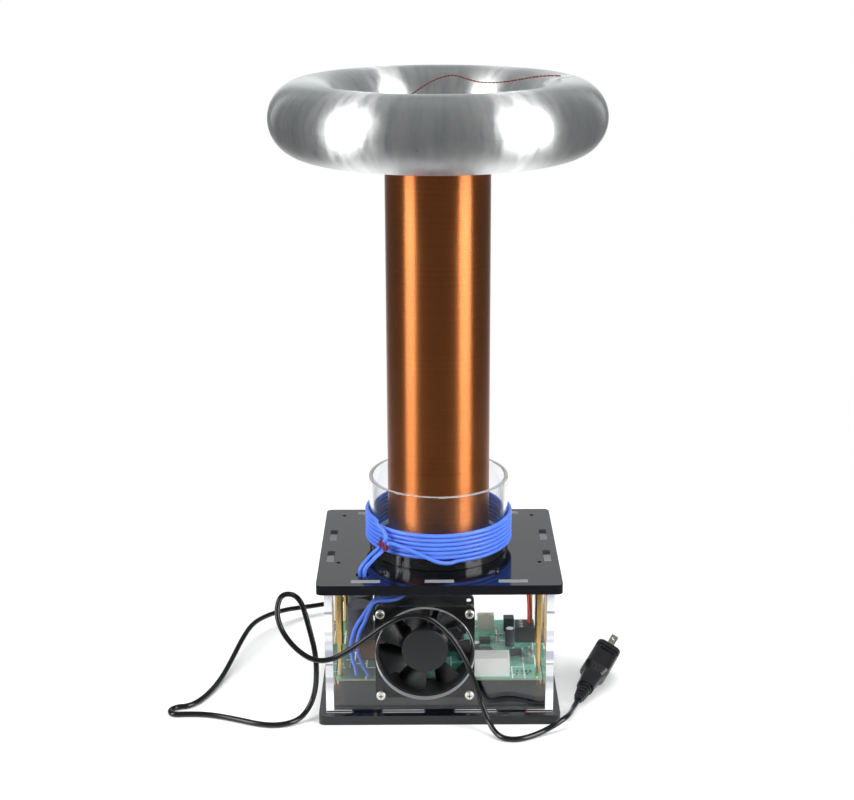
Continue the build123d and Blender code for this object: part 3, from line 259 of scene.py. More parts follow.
def room_math(operation, first, second=0.0):
    """One Math node in the room: a number from one or two sockets or values."""
    node = room.nodes.new("ShaderNodeMath")
    node.operation = operation
    for socket, value in zip(node.inputs, (first, second)):
        if isinstance(value, float):
            socket.default_value = value
        else:
            room.links.new(value, socket)
    return node.outputs[0]


def ramp_of(number, start, end, low, high):
    """Light level that goes from low to high while the number goes from start to end."""
    ramp = room.nodes.new("ShaderNodeMapRange")
    for key, value in {"From Min": start, "From Max": end, "To Min": low, "To Max": high}.items():
        ramp.inputs[key].default_value = value
    room.links.new(number, ramp.inputs["Value"])
    return ramp.outputs[0]


# The backdrop stands behind, some 15 degrees to each side and 30 degrees up, with a slit of
# light beside it, and the ceiling is a little lighter than the walls.
wall_light = 0.18
ceiling_light = 0.22
backdrop_light = 0.97
slit_light = 1.6
slit_place = 0.29
behind = room_math("SUBTRACT", split.outputs["Y"], room_math("ABSOLUTE", split.outputs["X"]))
sheet = ramp_of(behind, 0.62, 0.79, wall_light, backdrop_light)
low_enough = ramp_of(split.outputs["Z"], 0.45, 0.62, 1.0, 0.2)
sheet = room_math("MULTIPLY", sheet, low_enough)
ceiling = ramp_of(split.outputs["Z"], 0.2, 0.8, wall_light, ceiling_light)
beside = room_math("ABSOLUTE", room_math("SUBTRACT", behind, slit_place))
slit = ramp_of(beside, 0.02, 0.045, slit_light, wall_light)
brightest = room_math("MAXIMUM", room_math("MAXIMUM", sheet, ceiling), slit)
# The camera itself sees plain white.
paths = room.nodes.new("ShaderNodeLightPath")
level = room.nodes.new("ShaderNodeMix")
level.inputs[3].default_value = 1.0
room.links.new(paths.outputs["Is Camera Ray"], level.inputs[0])
room.links.new(brightest, level.inputs[2])
room.links.new(level.outputs[0], room.nodes["Background"].inputs["Strength"])
tint = room.nodes.new("ShaderNodeMix")
tint.data_type = "RGBA"
tint.inputs[6].default_value = (0.95, 0.985, 1, 1)
tint.inputs[7].default_value = (1, 1, 1, 1)
room.links.new(paths.outputs["Is Camera Ray"], tint.inputs[0])
room.links.new(tint.outputs[2], room.nodes["Background"].inputs["Color"])


def soft_lamp(name, place, aim, width, height, power):
    """A rectangular lamp at a place, turned to face the aim."""
    data = bpy.data.lights.new(name, "AREA")
    data.shape = "RECTANGLE"
    data.size, data.size_y, data.energy = width, height, power
    lamp = bpy.data.objects.new(name, data)
    bpy.context.scene.collection.objects.link(lamp)
    lamp.location = place
    lamp.rotation_euler = (Vector(aim) - Vector(place)).to_track_quat("-Z", "Y").to_euler()
    return lamp


coil_middle = (0, 0, 0.4)
soft_lamp("lamp_right", (1.66, -0.94, 0.95), coil_middle, 0.98, 1.8, 52)
soft_lamp("lamp_left", (-1.69, -0.86, 0.95), coil_middle, 0.85, 1.8, 42)
lamp_above = soft_lamp("lamp_above", (0, 0.2, 2.3), (0, 0, 0), 2.4, 2.4, 50)
lamp_above.visible_glossy = False

# ---------------------------------------------------------------- mains cord and plug
# Round black vinyl cord from the gland behind the box: down to the floor, along the left side,
# up in a standing loop, over in an arch before the fan and down to its moulded plug.
# The route's points are in millimetres.
cord_route = [
    (-53.5, 106, 34), (-53.5, 121.5, 34), (-60, 136, 28.5), (-78, 140.5, 18.5), (-98, 135, 10),
    (-122, 127.5, 9.5), (-140, 114, 13), (-155.5, 96, 15.5), (-167, 75, 17), (-174, 50, 13),
    (-179.5, 24, 7.5), (-185.5, -4, 3.2), (-192, -28, 2.3), (-199.5, -46, 2.3),
    (-208, -55.5, 2.3), (-217.5, -56.5, 2.3), (-222.5, -63.5, 2.3), (-218, -70.3, 2.3),
    (-207, -68.8, 2.3), (-188, -69.8, 2.3), (-166, -78, 2.3), (-143, -88.5, 2.3),
    (-126, -88.5, 2.3), (-113.5, -80.5, 3), (-106, -74, 10.5), (-101.5, -71.7, 22),
    (-99.7, -71.7, 38), (-100.3, -69.5, 56), (-104.3, -66, 73), (-108.5, -61.5, 88),
    (-111.8, -59.5, 98), (-118.2, -59, 104.3), (-127, -62, 105), (-130.5, -67, 97.5),
    (-130, -72, 87.5), (-124.5, -78, 76.5), (-113.5, -84.5, 66), (-101, -88.5, 59.3),
    (-87.5, -89, 59.5), (-73, -89, 67.5), (-55, -89.2, 81), (-39.5, -89, 92.8), (-25, -89, 99),
    (-9.5, -89, 97.5), (4, -89, 86.5), (15.5, -89.5, 71), (24, -90.5, 52), (30, -91.5, 34),
    (34.5, -93, 20), (38.8, -97, 10.5), (43, -104.5, 4.6), (49.5, -112.3, 2.4),
    (59.5, -114.6, 2.3), (70.2, -110.7, 2.3), (81, -103.3, 2.6), (92.3, -98.3, 6.3),
    (101.8, -92, 9.8), (106.3, -80.5, 7.6), (109.82, -63.68, 3.21), (114.8, -53, 5.5),
]
cord_finish = Finish("cord_vinyl", Base_Color=(0.005, 0.005, 0.0055, 1), Roughness=0.16, IOR=1.43)
cord_finish.set(cord_finish.shader, {"Roughness": 0.09 + 0.1 * cord_finish.noise(260, 4)})
cord_finish.dent(cord_finish.noise(900, 2), 0.12, 0.0002)
cord_curve = bpy.data.curves.new("cord", "CURVE")
cord_curve.dimensions = "3D"
cord_curve.bevel_depth = 0.0022
cord_curve.bevel_resolution = 5
cord_curve.resolution_u = 8
cord_curve.use_fill_caps = True
cord_line = cord_curve.splines.new("NURBS")
cord_line.points.add(len(cord_route) - 1)
cord_points = np.c_[np.array(cord_route) / 1000, np.ones(len(cord_route))]
cord_line.points.foreach_set("co", cord_points.ravel())
cord_line.order_u = 3
cord_line.use_endpoint_u = True
cord_curve.materials.append(cord_finish.material)
cord = bpy.data.objects.new("cord", cord_curve)
bpy.context.scene.collection.objects.link(cord)
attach(cord, "base")
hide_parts("mains_cord")


def dress(finish, *nodes):
    """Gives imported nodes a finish, on their object's own material slot."""
    for name in nodes:
        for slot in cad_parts[name].material_slots:
            slot.link = "OBJECT"
            slot.material = finish.material


plug_finish = Finish("plug_vinyl", Base_Color=(0.008, 0.008, 0.009, 1), Roughness=0.36)
plug_finish.set(plug_finish.shader, {"Roughness": 0.22 + 0.14 * plug_finish.noise(180, 4)})
plug_finish.dent(plug_finish.noise(1600, 3), 0.2, 0.0002)
dress(plug_finish, "mains_plug", "cord_gland", "gland_nut")
blade_finish = Finish("plug_brass", Base_Color=(0.8, 0.76, 0.64, 1), Metallic=1.0, Roughness=0.25)
blade_finish.set(blade_finish.shader, {"Roughness": 0.18 + 0.2 * blade_finish.noise(400, 4)})
dress(blade_finish, "plug_blades")

# ---------------------------------------------------------------- black acrylic plates
# Cast acrylic sheet, 8 mm, laser cut: polished faces that mirror the backdrop, and edges that
# the laser left a little duller, with fine upright lines.
plate_black = (0.003, 0.0034, 0.006, 1)
plate_finish = Finish("black_acrylic_sheet", Base_Color=plate_black, IOR=1.48)
flat = plate_finish.facing()[2].above(0.5, 0.2)
cloud = plate_finish.noise(9, 5)
dust = plate_finish.noise(2600, 2).above(0.8, 0.03)
plate_finish.set(plate_finish.shader, {
    "Roughness": 0.24 - 0.17 * flat + 0.05 * cloud + 0.2 * dust,
    "Base_Color": plate_finish.blend(dust * 0.5, plate_black, (0.09, 0.09, 0.09, 1)),
})
cut = plate_finish.mapped((4200, 4200, 90))
plate_finish.dent(plate_finish.noise(1, 2, vector=cut) * (1 - flat), 0.25, 0.0001)
dress(plate_finish, "bottom_plate", "top_plate", "backing_plate")

# ---------------------------------------------------------------- clear acrylic panels
# Clear sheet, 6 mm: see-through faces and whitish laser-cut edges with upright lines.
# Lamps shine through it, so that they reach the board.


def tab_light_and_shade(finish, colour):
    """Painted light and shade on the side panels' tabs: the dark colour given, for the shade in
    the plate's slots, but lit grey in each tab's front half, or outside the two.
    """
    along = finish.at()[1]
    # Painted light: each tab's front half, and the edge outside the two, is lit grey.
    painted_lit = along.above(0, 0.001) - along.above(0.0255, 0.001) + 1 - along.above(-0.0215, 0.001)
    return finish.blend(painted_lit, colour, (0.22, 0.22, 0.23, 1))


def clear_sheet(name, tint, edge_colour, edge_share, axis, tab_painted_shade=None, foot=None):
    """Clear acrylic whose faces square to the axis are polished and whose cut edges are frosted.
    Without an axis it is an upright tube, and its edges are its two ends. Edges that face up
    take the tab colour, painted shade with painted light on the side panels' tabs. Foot paints a
    whitish highlight on the faces' lowest strip, but for a gap at each tab."""
    finish = Finish(name, Base_Color=tint, Roughness=0.015, IOR=1.49, Transmission_Weight=1.0)
    scuffs = finish.noise(60, 4).above(0.62, 0.1)
    finish.set(finish.shader, {"Roughness": 0.01 + 0.05 * scuffs})
    if axis is None:
        # Painted shade: the wall's colour turns grey where it is seen along itself, for the darker edges
        # that its refraction shows.
        grazing = finish.node("ShaderNodeLayerWeight", {}, {"Blend": 0.3}).outputs["Facing"]
        grazing = Shade(finish, grazing)
        wall_painted_shade = finish.blend(grazing * grazing * grazing, tint, (0.5, 0.54, 0.56, 1))
        finish.set(finish.shader, {"Base_Color": wall_painted_shade})
    # Painted reflection: grey-blue bands at random heights on the cut edges, for the parts seen through
    # them.
    painted_bands = finish.noise(1, 1, vector=finish.mapped((0.5, 0.5, 62))).above(0.54, 0.05)
    shade = finish.blend(painted_bands, edge_colour, (0.5, 0.5, 0.57, 1))
    upward = 0.0
    # Painted shade on the edges that face up, with painted light on the side panels' tabs.
    if tab_painted_shade:
        upward = finish.facing()[2].above(0.6, 0.1)
        shade = finish.blend(upward, shade, tab_light_and_shade(finish, tab_painted_shade) if axis == 0 else tab_painted_shade)
    frost = finish.node("ShaderNodeBsdfPrincipled", {}, {
        "Base Color": shade, "Roughness": 0.4 + 0.5 * upward, "IOR": 1.49, "Transmission Weight": 0.3,
        "Specular IOR Level": 0.5 if axis == 1 else 0.12,
    })
    lines = finish.noise(1, 2, vector=finish.mapped((3600, 3600, 3600)))
    dents = {"Height": lines, "Strength": 0.3, "Distance": 0.0001}
    finish.set(frost, {"Normal": finish.node("ShaderNodeBump", {}, dents).outputs[0]})
    if axis is None:
        edge = finish.facing()[2].above(0.6, 0.1)
    else:
        edge = 1 - finish.facing()[axis].above(0.6, 0.1)
    cover = (edge * edge_share).larger(upward)
    # Painted highlight: a whitish strip along the faces' foot, but for a gap at each tab.
    if foot:
        low, gaps, half_gap = foot
        across, _, height = finish.at()
        highlight_strip = 1 - height.above(low, 0.0003)
        for gap in gaps:
            highlight_strip = highlight_strip * (across - gap).absolute().above(half_gap, 0.0005)
        cover = cover.larger(highlight_strip * 0.75)
    body = finish.mix(cover, frost.outputs[0])
    lamps = finish.node("ShaderNodeLightPath", {}, {})
    through = finish.node("ShaderNodeBsdfTransparent", {}, {"Color": (0.93, 0.94, 0.94, 1)})
    finish.mix(Shade(finish, lamps.outputs["Is Shadow Ray"]), through.outputs[0], base=body)
    return finish


clear_tint = (0.98, 0.985, 0.99, 1)
cut_white = (0.84, 0.84, 0.87, 1)
foot_highlight = (0.0087, (-0.0588, 0, 0.0588), 0.0125)
# The tab colours are painted shade on the edges that face up, into the plates' slots.
front_sheet = clear_sheet("clear_sheet_front", clear_tint, cut_white, 0.85, 1,
                          tab_painted_shade=(0.3, 0.3, 0.31, 1), foot=foot_highlight)
side_sheet = clear_sheet("clear_sheet_side", clear_tint, cut_white, 0.85, 0,
                         tab_painted_shade=(0.03, 0.03, 0.035, 1))
dress(front_sheet, "front_panel", "rear_panel")
dress(side_sheet, "left_panel", "right_panel")

# ---------------------------------------------------------------- brass posts and steel screws
# Hexagonal spacers and posts of turned brass, with faint lathe lines; plated steel screws,
# studs and nuts.
brass_finish = Finish("turned_brass", Base_Color=(0.6, 0.4, 0.12, 1), Metallic=1.0)
brass_tone = brass_finish.noise(90, 3)
brass_finish.set(brass_finish.shader, {
    "Roughness": 0.16 + 0.16 * brass_finish.noise(220, 4),
    "Base_Color": brass_finish.blend(brass_tone, (0.5, 0.32, 0.08, 1), (0.72, 0.5, 0.18, 1)),
})
brass_finish.dent(brass_finish.noise(1, 2, vector=brass_finish.mapped((300, 300, 5200))), 0.18, 0.0001)
dress(brass_finish, "board_spacers", "board_studs", "corner_posts")
steel_finish = Finish("plated_steel", Base_Color=(0.62, 0.6, 0.55, 1), Metallic=1.0)
steel_finish.set(steel_finish.shader, {"Roughness": 0.2 + 0.25 * steel_finish.noise(500, 4)})
steel_finish.dent(steel_finish.noise(2400, 2), 0.15, 0.0001)
dress(steel_finish, "base_screws", "fan_nuts", "coil_nuts", "toroid_bolt", "toroid_nut", "fuse_clips")

# The fan's screws have a cross in the head, painted near-black inside as shade. The coil's are
# blackened.
screw_colour = (0.66, 0.65, 0.6, 1)
cross_finish = Finish("cross_head_steel", Base_Color=screw_colour, Metallic=1.0)
head_x, head_y, head_z = cross_finish.at()
fan_low, fan_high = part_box("fan_screws")
fan_mid_x, fan_mid_z = (fan_low[0] + fan_high[0]) / 2, (fan_low[2] + fan_high[2]) / 2
screw_pitch = 0.0715
off_x = (head_x - fan_mid_x).absolute() - screw_pitch / 2
off_z = (head_z - fan_mid_z).absolute() - screw_pitch / 2
from_axis = off_x.hypot(off_z)
# Painted shade: the cross recess, back from the head's face and near its middle, is near-black and not
# metallic.
recess_shade = head_y.above(fan_low[1] + 0.0004, 0.0002) * (1 - from_axis.above(0.0026, 0.0002))
shoulder = from_axis.above(0.0030, 0.0006)
cross_finish.set(cross_finish.shader, {
    "Base_Color": cross_finish.blend(recess_shade, screw_colour, (0.01, 0.01, 0.01, 1)),
    "Roughness": 0.16 + 0.2 * cross_finish.noise(500, 4) + 0.2 * shoulder,
    "Metallic": 1 - recess_shade,
})
cross_finish.dent(cross_finish.noise(900, 2), 0.35, 0.0003)
dress(cross_finish, "fan_screws")
black_steel = Finish("blackened_steel", Base_Color=(0.07, 0.07, 0.075, 1), Metallic=1.0)
black_steel.set(black_steel.shader, {"Roughness": 0.22 + 0.2 * black_steel.noise(500, 4)})
black_steel.dent(black_steel.noise(2400, 2), 0.15, 0.0001)
dress(black_steel, "coil_screws")

# ---------------------------------------------------------------- driver board
# Fibreglass board under green solder mask: the tracks show as a paler green under it, with
# white outlines printed round the parts and a bare edge.
mask_finish = Finish("solder_mask", Base_Color=(0.02, 0.2, 0.12, 1), Roughness=0.32, Coat_Weight=0.3)
board_face = mask_finish.facing()[2].above(0.5, 0.2)
tracks = mask_finish.node("ShaderNodeTexBrick", {"offset": 0.37, "squash": 1.6, "squash_frequency": 3}, {
    "Vector": mask_finish.mapped((1, 1, 0)), "Color1": (0, 0, 0, 1), "Color2": (0, 0, 0, 1),
    "Mortar": (1, 1, 1, 1), "Scale": 92, "Mortar Size": 0.035, "Mortar Smooth": 0.05,
    "Brick Width": 0.62, "Row Height": 0.31,
})
pours = mask_finish.noise(34, 0, vector=mask_finish.mapped((1, 1.6, 0))).above(0.53, 0.02)
printed = mask_finish.node("ShaderNodeTexBrick", {"offset": 0.5, "squash": 1.0, "squash_frequency": 2}, {
    "Vector": mask_finish.mapped((1, 1, 0), (0, 0, math.radians(90))), "Color1": (0, 0, 0, 1),
    "Color2": (0, 0, 0, 1), "Mortar": (1, 1, 1, 1), "Scale": 61, "Mortar Size": 0.026,
    "Mortar Smooth": 0.02, "Brick Width": 0.9, "Row Height": 0.62,
})
ink_zone = mask_finish.noise(38, 0, vector=mask_finish.mapped((1, 1, 0))).above(0.5, 0.01)
ink = Shade(mask_finish, printed.outputs["Color"]) * ink_zone * board_face
copper_under = Shade(mask_finish, tracks.outputs["Color"]).larger(pours * 0.75)
green = mask_finish.blend(copper_under * board_face, (0.035, 0.23, 0.15, 1), (0.1, 0.4, 0.29, 1))
# Painted shade: the board's colour is darkened on its left, where it lies in shade.
mask_x = mask_finish.at()[0]
left_painted_shade = (1 - mask_x.above(-0.024, 0.006)) * mask_x.above(-0.083, 0.006)
green = mask_finish.blend(left_painted_shade * 0.85, green, (0.008, 0.03, 0.032, 1))
coated = mask_finish.blend(board_face, (0.2, 0.24, 0.13, 1), green)
mask_finish.set(mask_finish.shader, {
    "Base_Color": mask_finish.blend(ink, coated, (0.75, 0.8, 0.76, 1)),
    "Roughness": 0.28 + 0.12 * mask_finish.noise(200, 3),
})
mask_finish.dent(copper_under + ink, 0.3, 0.00004)
dress(mask_finish, "circuit_board")


def moulded(name, colour, low, high, grain, strength):
    """A moulded plastic: one colour that drifts a little, uneven gloss and a fine grain."""
    finish = Finish(name, Base_Color=(*colour, 1), Roughness=low)
    dark = tuple(0.82 * c for c in colour)
    finish.set(finish.shader, {
        "Roughness": low + (high - low) * finish.noise(150, 4),
        "Base_Color": finish.blend(finish.noise(70, 3), (*dark, 1), (*colour, 1)),
    })
    finish.dent(finish.noise(grain, 3), strength, 0.0001)
    return finish


# Components: anodised heatsink, moulded blocks, sleeved cans with bare tops, wound parts.
sink_finish = Finish("anodised_heatsink", Base_Color=(0.045, 0.046, 0.05, 1), Metallic=0.6)
sink_finish.set(sink_finish.shader, {"Roughness": 0.34 + 0.2 * sink_finish.noise(120, 4)})
sink_finish.dent(sink_finish.noise(1, 2, vector=sink_finish.mapped((2400, 60, 2400))), 0.25, 0.0001)
dress(sink_finish, "heatsink")
epoxy_finish = moulded("black_epoxy", (0.016, 0.016, 0.018), 0.35, 0.6, 2200, 0.3)
dress(epoxy_finish, "power_transistors", "bridge_rectifier", "control_chips", "pulse_module")
dress(moulded("white_case", (0.75, 0.75, 0.72), 0.3, 0.5, 1200, 0.15), "film_capacitor")
dress(moulded("beige_case", (0.43, 0.42, 0.34), 0.4, 0.6, 1500, 0.2), "filter_capacitor")
dress(moulded("terminal_black", (0.014, 0.014, 0.016), 0.3, 0.5, 1800, 0.2), "terminal_block")
dress(moulded("choke_tape", (0.06, 0.022, 0.005), 0.3, 0.5, 500, 0.3), "choke")
dress(moulded("grey_ferrite", (0.05, 0.06, 0.055), 0.5, 0.8, 3000, 0.4), "gate_transformer")
can_finish = Finish("capacitor_can", Base_Color=(0.02, 0.025, 0.04, 1))
can_top = can_finish.facing()[2].above(0.9, 0.05)
can_finish.set(can_finish.shader, {
    "Base_Color": can_finish.blend(can_top, (0.016, 0.02, 0.034, 1), (0.78, 0.78, 0.78, 1)),
    "Metallic": can_top, "Roughness": 0.3 + 0.12 * can_finish.noise(300, 3),
})
dress(can_finish, "small_capacitors")
# The large cans take the sleeve's dark colour on their tops too: painted shade over their bare tops.
dress(moulded("capacitor_sleeve", (0.016, 0.018, 0.026), 0.3, 0.5, 900, 0.15), "bulk_capacitors")

# Glass fuse: metal caps on a clear tube.
fuse_finish = Finish("fuse_glass", Base_Color=(0.93, 0.95, 0.95, 1), Roughness=0.03,
                     Transmission_Weight=1.0)
fuse_low, fuse_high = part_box("fuse")
fuse_middle = (fuse_low[1] + fuse_high[1]) / 2
from_middle = (fuse_finish.at()[1] - fuse_middle).absolute()
fuse_cap = fuse_finish.node("ShaderNodeBsdfPrincipled", {}, {
    "Base Color": (0.7, 0.69, 0.66, 1), "Metallic": 1.0, "Roughness": 0.28,
})
fuse_finish.set(fuse_finish.shader, {"Roughness": 0.02 + 0.05 * fuse_finish.noise(500, 2)})
fuse_finish.mix(from_middle.above(0.0048, 0.0002), fuse_cap.outputs[0])
dress(fuse_finish, "fuse")

# Small soldered parts: chip resistors in rows, and the solder joints beside the terminal block.


def lathe(profile, sides=24):
    """Grid of rings: radius and height pairs turned about the upright axis."""
    turn = np.linspace(0, 2 * np.pi, sides, endpoint=False)
    radius, height = np.asarray(profile, float).T
    return np.stack([radius[:, None] * np.cos(turn), radius[:, None] * np.sin(turn),
                     np.repeat(height[:, None], sides, axis=1)], axis=2)


def group(name, grid, places, finish):
    """One mesh of the same closed grid at many places, each a point and a turn about Z.
    The grids are stacked and their faces are numbered on, with a cap at both ends."""
    rows, columns = grid.shape[:2]
    places = np.asarray(places, float)
    cos, sin = np.cos(places[:, 3])[:, None, None], np.sin(places[:, 3])[:, None, None]
    x, y, z = grid[None, :, :, 0], grid[None, :, :, 1], grid[None, :, :, 2]
    upright = np.broadcast_to(z, (len(places), rows, columns))
    moved = np.stack([x * cos - y * sin, x * sin + y * cos, upright], axis=3)
    moved += places[:, None, None, :3]
    corners = grid_faces(rows, columns, around=True, shut=False)[2]
    first = (np.arange(len(places)) * rows * columns)[:, None, None]
    faces = (corners[None] + first).reshape(-1, 4).tolist()
    foot = np.arange(columns)[::-1][None] + first[:, 0]
    head = np.arange((rows - 1) * columns, rows * columns)[None] + first[:, 0]
    mesh = bpy.data.meshes.new(name)
    mesh.from_pydata(moved.reshape(-1, 3).tolist(), [], faces + foot.tolist() + head.tolist())
    return piece_of(name, mesh, finish)


def block(length, width, height, bevel):
    """Grid of a box with softened upper edges: three rings of four corners."""
    rings = [(0, 0), (0, height - bevel), (bevel, height)]
    corner = np.array([(1, 1), (-1, 1), (-1, -1), (1, -1)], float)
    return np.stack([
        np.c_[corner[:, 0] * (length / 2 - inset), corner[:, 1] * (width / 2 - inset), np.full(4, rise)]
        for inset, rise in rings
    ])


board_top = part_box("circuit_board")[1][2]
chip_body = moulded("chip_resistor", (0.02, 0.02, 0.022), 0.3, 0.5, 2500, 0.2)
solder_finish = Finish("solder", Base_Color=(0.72, 0.72, 0.7, 1), Metallic=1.0)
solder_finish.set(solder_finish.shader, {"Roughness": 0.22 + 0.25 * solder_finish.noise(900, 3)})
# Rows of chips: where the row starts, how many, how far apart, and whether it runs along y.
chip_rows = [
    (0.033, 0.000, 5, 0.0042, 0), (0.033, 0.014, 4, 0.0042, 0), (0.052, 0.030, 3, 0.005, 1),
    (0.058, -0.012, 4, 0.0038, 1), (0.050, 0.040, 3, 0.0045, 0), (0.030, 0.036, 2, 0.005, 1),
    (0.0655, -0.030, 4, 0.0036, 0), (0.0645, -0.036, 3, 0.0044, 0), (-0.075, -0.020, 3, 0.004, 1),
    (-0.048, 0.066, 5, 0.005, 0), (0.020, 0.066, 6, 0.005, 0),
]
chips = np.array([
    (x + i * apart * (1 - along_y), y + i * apart * along_y, board_top, along_y * np.pi / 2)
    for x, y, count, apart, along_y in chip_rows
    for i in range(count)
])
group("chip_resistors", block(0.002, 0.00125, 0.0006, 0.0001), chips, chip_body)
end_reach = 0.0012
ends = np.concatenate([chips, chips])
end_side = np.repeat([end_reach, -end_reach], len(chips))
ends[:, 0] += end_side * np.cos(ends[:, 3])
ends[:, 1] += end_side * np.sin(ends[:, 3])
group("chip_ends", block(0.0007, 0.0014, 0.00055, 0.0002), ends, solder_finish)
joints = [(x, y, board_top, 0) for x in np.arange(0.030, 0.060, 0.00508) for y in (-0.0170, -0.0186)]
joints += [(x, y, board_top, 0) for x in (0.064, 0.0715, 0.079) for y in (0.0125, 0.0465)]
joints += [(-0.0688, -0.036, board_top, 0), (-0.0595, -0.038, board_top, 0)]
joint_profile = [(0.0012, 0), (0.0010, 0.0003), (0.00055, 0.0008), (0.0004, 0.0014), (0.0002, 0.0015)]
group("solder_joints", lathe(joint_profile, 12), joints, solder_finish)

# Terminal screws: slotted heads sunk a little in the top of the terminal block.
block_low, block_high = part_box("terminal_block")
screw_head = lathe([(0.0019, -0.0004), (0.0019, 0.0004), (0.0016, 0.0006), (0.0003, 0.0006)], 20)
screw_x = block_low[0] + 0.0045
screw_y = np.linspace(block_low[1] + 0.0035, block_high[1] - 0.0035, 3)
screws = [(screw_x, y, block_high[2], 0) for y in screw_y]
group("terminal_screws", screw_head, screws, steel_finish)
# Each slot is a thin black bar laid on the head: painted shade in place of the slot.
slot_shade_bars = [(screw_x, y, block_high[2] + 0.0006, 0.5) for y in screw_y]
group("terminal_slot_shade", block(0.0032, 0.0005, 0.00025, 0.00005), slot_shade_bars, epoxy_finish)

# ---------------------------------------------------------------- fan
# An 80 mm axial fan, moulded in black glass-filled plastic. Four screws hold its frame behind
# the hole in the front panel, and its rotor turns on a shaft in the stator.
fan_finish = moulded("fan_black", (0.008, 0.008, 0.008), 0.3, 0.45, 1300, 0.25)
dress(fan_finish, "fan_housing")
rotor_finish = moulded("rotor_black", (0.005, 0.0055, 0.0065), 0.34, 0.5, 1500, 0.22)
dress(rotor_finish, "fan_rotor")
dress(moulded("stator_steel", (0.2, 0.2, 0.2), 0.4, 0.6, 900, 0.3), "fan_stator")

# ---------------------------------------------------------------- coil base and clear tube
# A turned disc of satin black acrylic on the top plate. It locates the clear acrylic tube, which
# carries the primary, and its boss holds the secondary's plastic tube.
disc_finish = Finish("black_disc", Base_Color=(0.003, 0.003, 0.003, 1), IOR=1.3)
disc_finish.set(disc_finish.shader, {"Roughness": 0.42 + 0.14 * disc_finish.noise(40, 4)})
disc_finish.dent(disc_finish.noise(1400, 2), 0.04, 0.0001)
dress(disc_finish, "coil_base")
tube_finish = clear_sheet("clear_tube", (0.985, 0.99, 0.99, 1), (0.9, 0.92, 0.93, 1), 0.55, None)
dress(tube_finish, "primary_tube")

# ---------------------------------------------------------------- secondary coil
# About a thousand turns of enamelled copper wire, one layer, close together on a plastic tube,
# under a coat of clear varnish. Each turn is round, so that lamps draw out into upright streaks.
wound_low, wound_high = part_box("secondary_winding")
copper_finish = Finish("enamelled_copper", Base_Color=(0.5, 0.18, 0.055, 1), Metallic=1.0,
                       Roughness=0.3, Anisotropic=0.92, Anisotropic_Rotation=0.25,
                       Coat_Weight=0.1, Coat_Roughness=0.1)
bands = copper_finish.noise(1, 3, vector=copper_finish.mapped((0.5, 0.5, 420)))
tone = copper_finish.noise(24, 3)
copper_tone = 0.6 * bands + 0.4 * tone
copper_finish.set(copper_finish.shader, {
    "Base_Color": copper_finish.blend(copper_tone, (0.34, 0.1, 0.028, 1), (0.52, 0.185, 0.058, 1)),
    "Roughness": 0.28 + 0.14 * bands,
})
fine_pitch = 0.0008
phase = copper_finish.at()[2] * (2 * math.pi / fine_pitch)
copper_finish.dent(phase.math("SINE", phase), 0.2, 0.00006)
# The mesh has ridges twice as far apart as the dents above. Both are coarser than real turns.
ridge_pitch = 2 * fine_pitch
ridge_depth = 0.00006
rings = int((wound_high[2] - wound_low[2]) / ridge_pitch) * 4 + 1
height = np.linspace(wound_low[2], wound_high[2], rings)
ridge_phase = 2 * np.pi * (height - wound_low[2]) / ridge_pitch
ridge = wound_high[0] - ridge_depth * (1 - np.cos(ridge_phase))
# Profile: up the outside over the turns, in over the end, down the inside, and out again.
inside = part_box("secondary_former")[1][0] + 0.00002
profile = [(inside, wound_low[2]), *zip(ridge, height), (inside, wound_high[2])]
secondary = surface("secondary_coil", lathe(profile, 96), copper_finish, shut=True)
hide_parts("secondary_winding")
dress(moulded("former_white", (0.72, 0.7, 0.66), 0.25, 0.4, 700, 0.1), "secondary_former")
dress(moulded("cap_black", (0.016, 0.016, 0.018), 0.35, 0.5, 1200, 0.2), "top_cap")

# ---------------------------------------------------------------- primary coil
# One blue silicone-insulated wire: up from the board through the plate's hole, bound by the
# tie, seven rows round the clear tube and back down beside itself.


def tube_along(line, radius, sides=14):
    """Grid of rings round a line: each ring's two axes are carried on from the last ring's by
    taking away their part along the line, so that the tube doesn't twist."""
    line = np.asarray(line, float)
    way = np.gradient(line, axis=0)
    way /= np.linalg.norm(way, axis=1)[:, None]
    start = np.cross(way[0], (0.3, 0.5, 0.81) if abs(way[0][2]) < 0.7 else (1, 0.2, 0))
    first = np.zeros_like(line)
    first[0] = start / np.linalg.norm(start)
    for i in range(1, len(line)):
        carried = first[i - 1] - way[i] * (first[i - 1] @ way[i])
        first[i] = carried / np.linalg.norm(carried)
    second = np.cross(way, first)
    turn = np.linspace(0, 2 * np.pi, sides, endpoint=False)
    radius = np.broadcast_to(radius, (len(line),))[:, None, None]
    return (line[:, None] + radius * (first[:, None] * np.cos(turn)[None, :, None]
                                      + second[:, None] * np.sin(turn)[None, :, None]))


def along_stations(stations, count):
    """Smooth line through points with directions: a cubic between each two, whose ends leave
    along the directions by 1.05 times the distance between the points."""
    spots = np.array([s for s, _ in stations], float)
    ways = [w for _, w in stations]
    middle = np.vstack([spots[1] - spots[0], spots[2:] - spots[:-2], spots[-1] - spots[-2]])
    ways = np.array([m if w is None else w for w, m in zip(ways, middle)], float)
    ways /= np.linalg.norm(ways, axis=1)[:, None]
    a, b, u, v = (q[:, None] for q in (spots[:-1], spots[1:], ways[:-1], ways[1:]))
    reach = 1.05 * np.linalg.norm(b - a, axis=2, keepdims=True)
    t = np.linspace(0, 1, count, endpoint=False)[None, :, None]
    line = ((2 * t**3 - 3 * t**2 + 1) * a + (t**3 - 2 * t**2 + t) * reach * u
            + (3 * t**2 - 2 * t**3) * b + (t**3 - t**2) * reach * v)
    return np.vstack([line.reshape(-1, 3), spots[-1]])


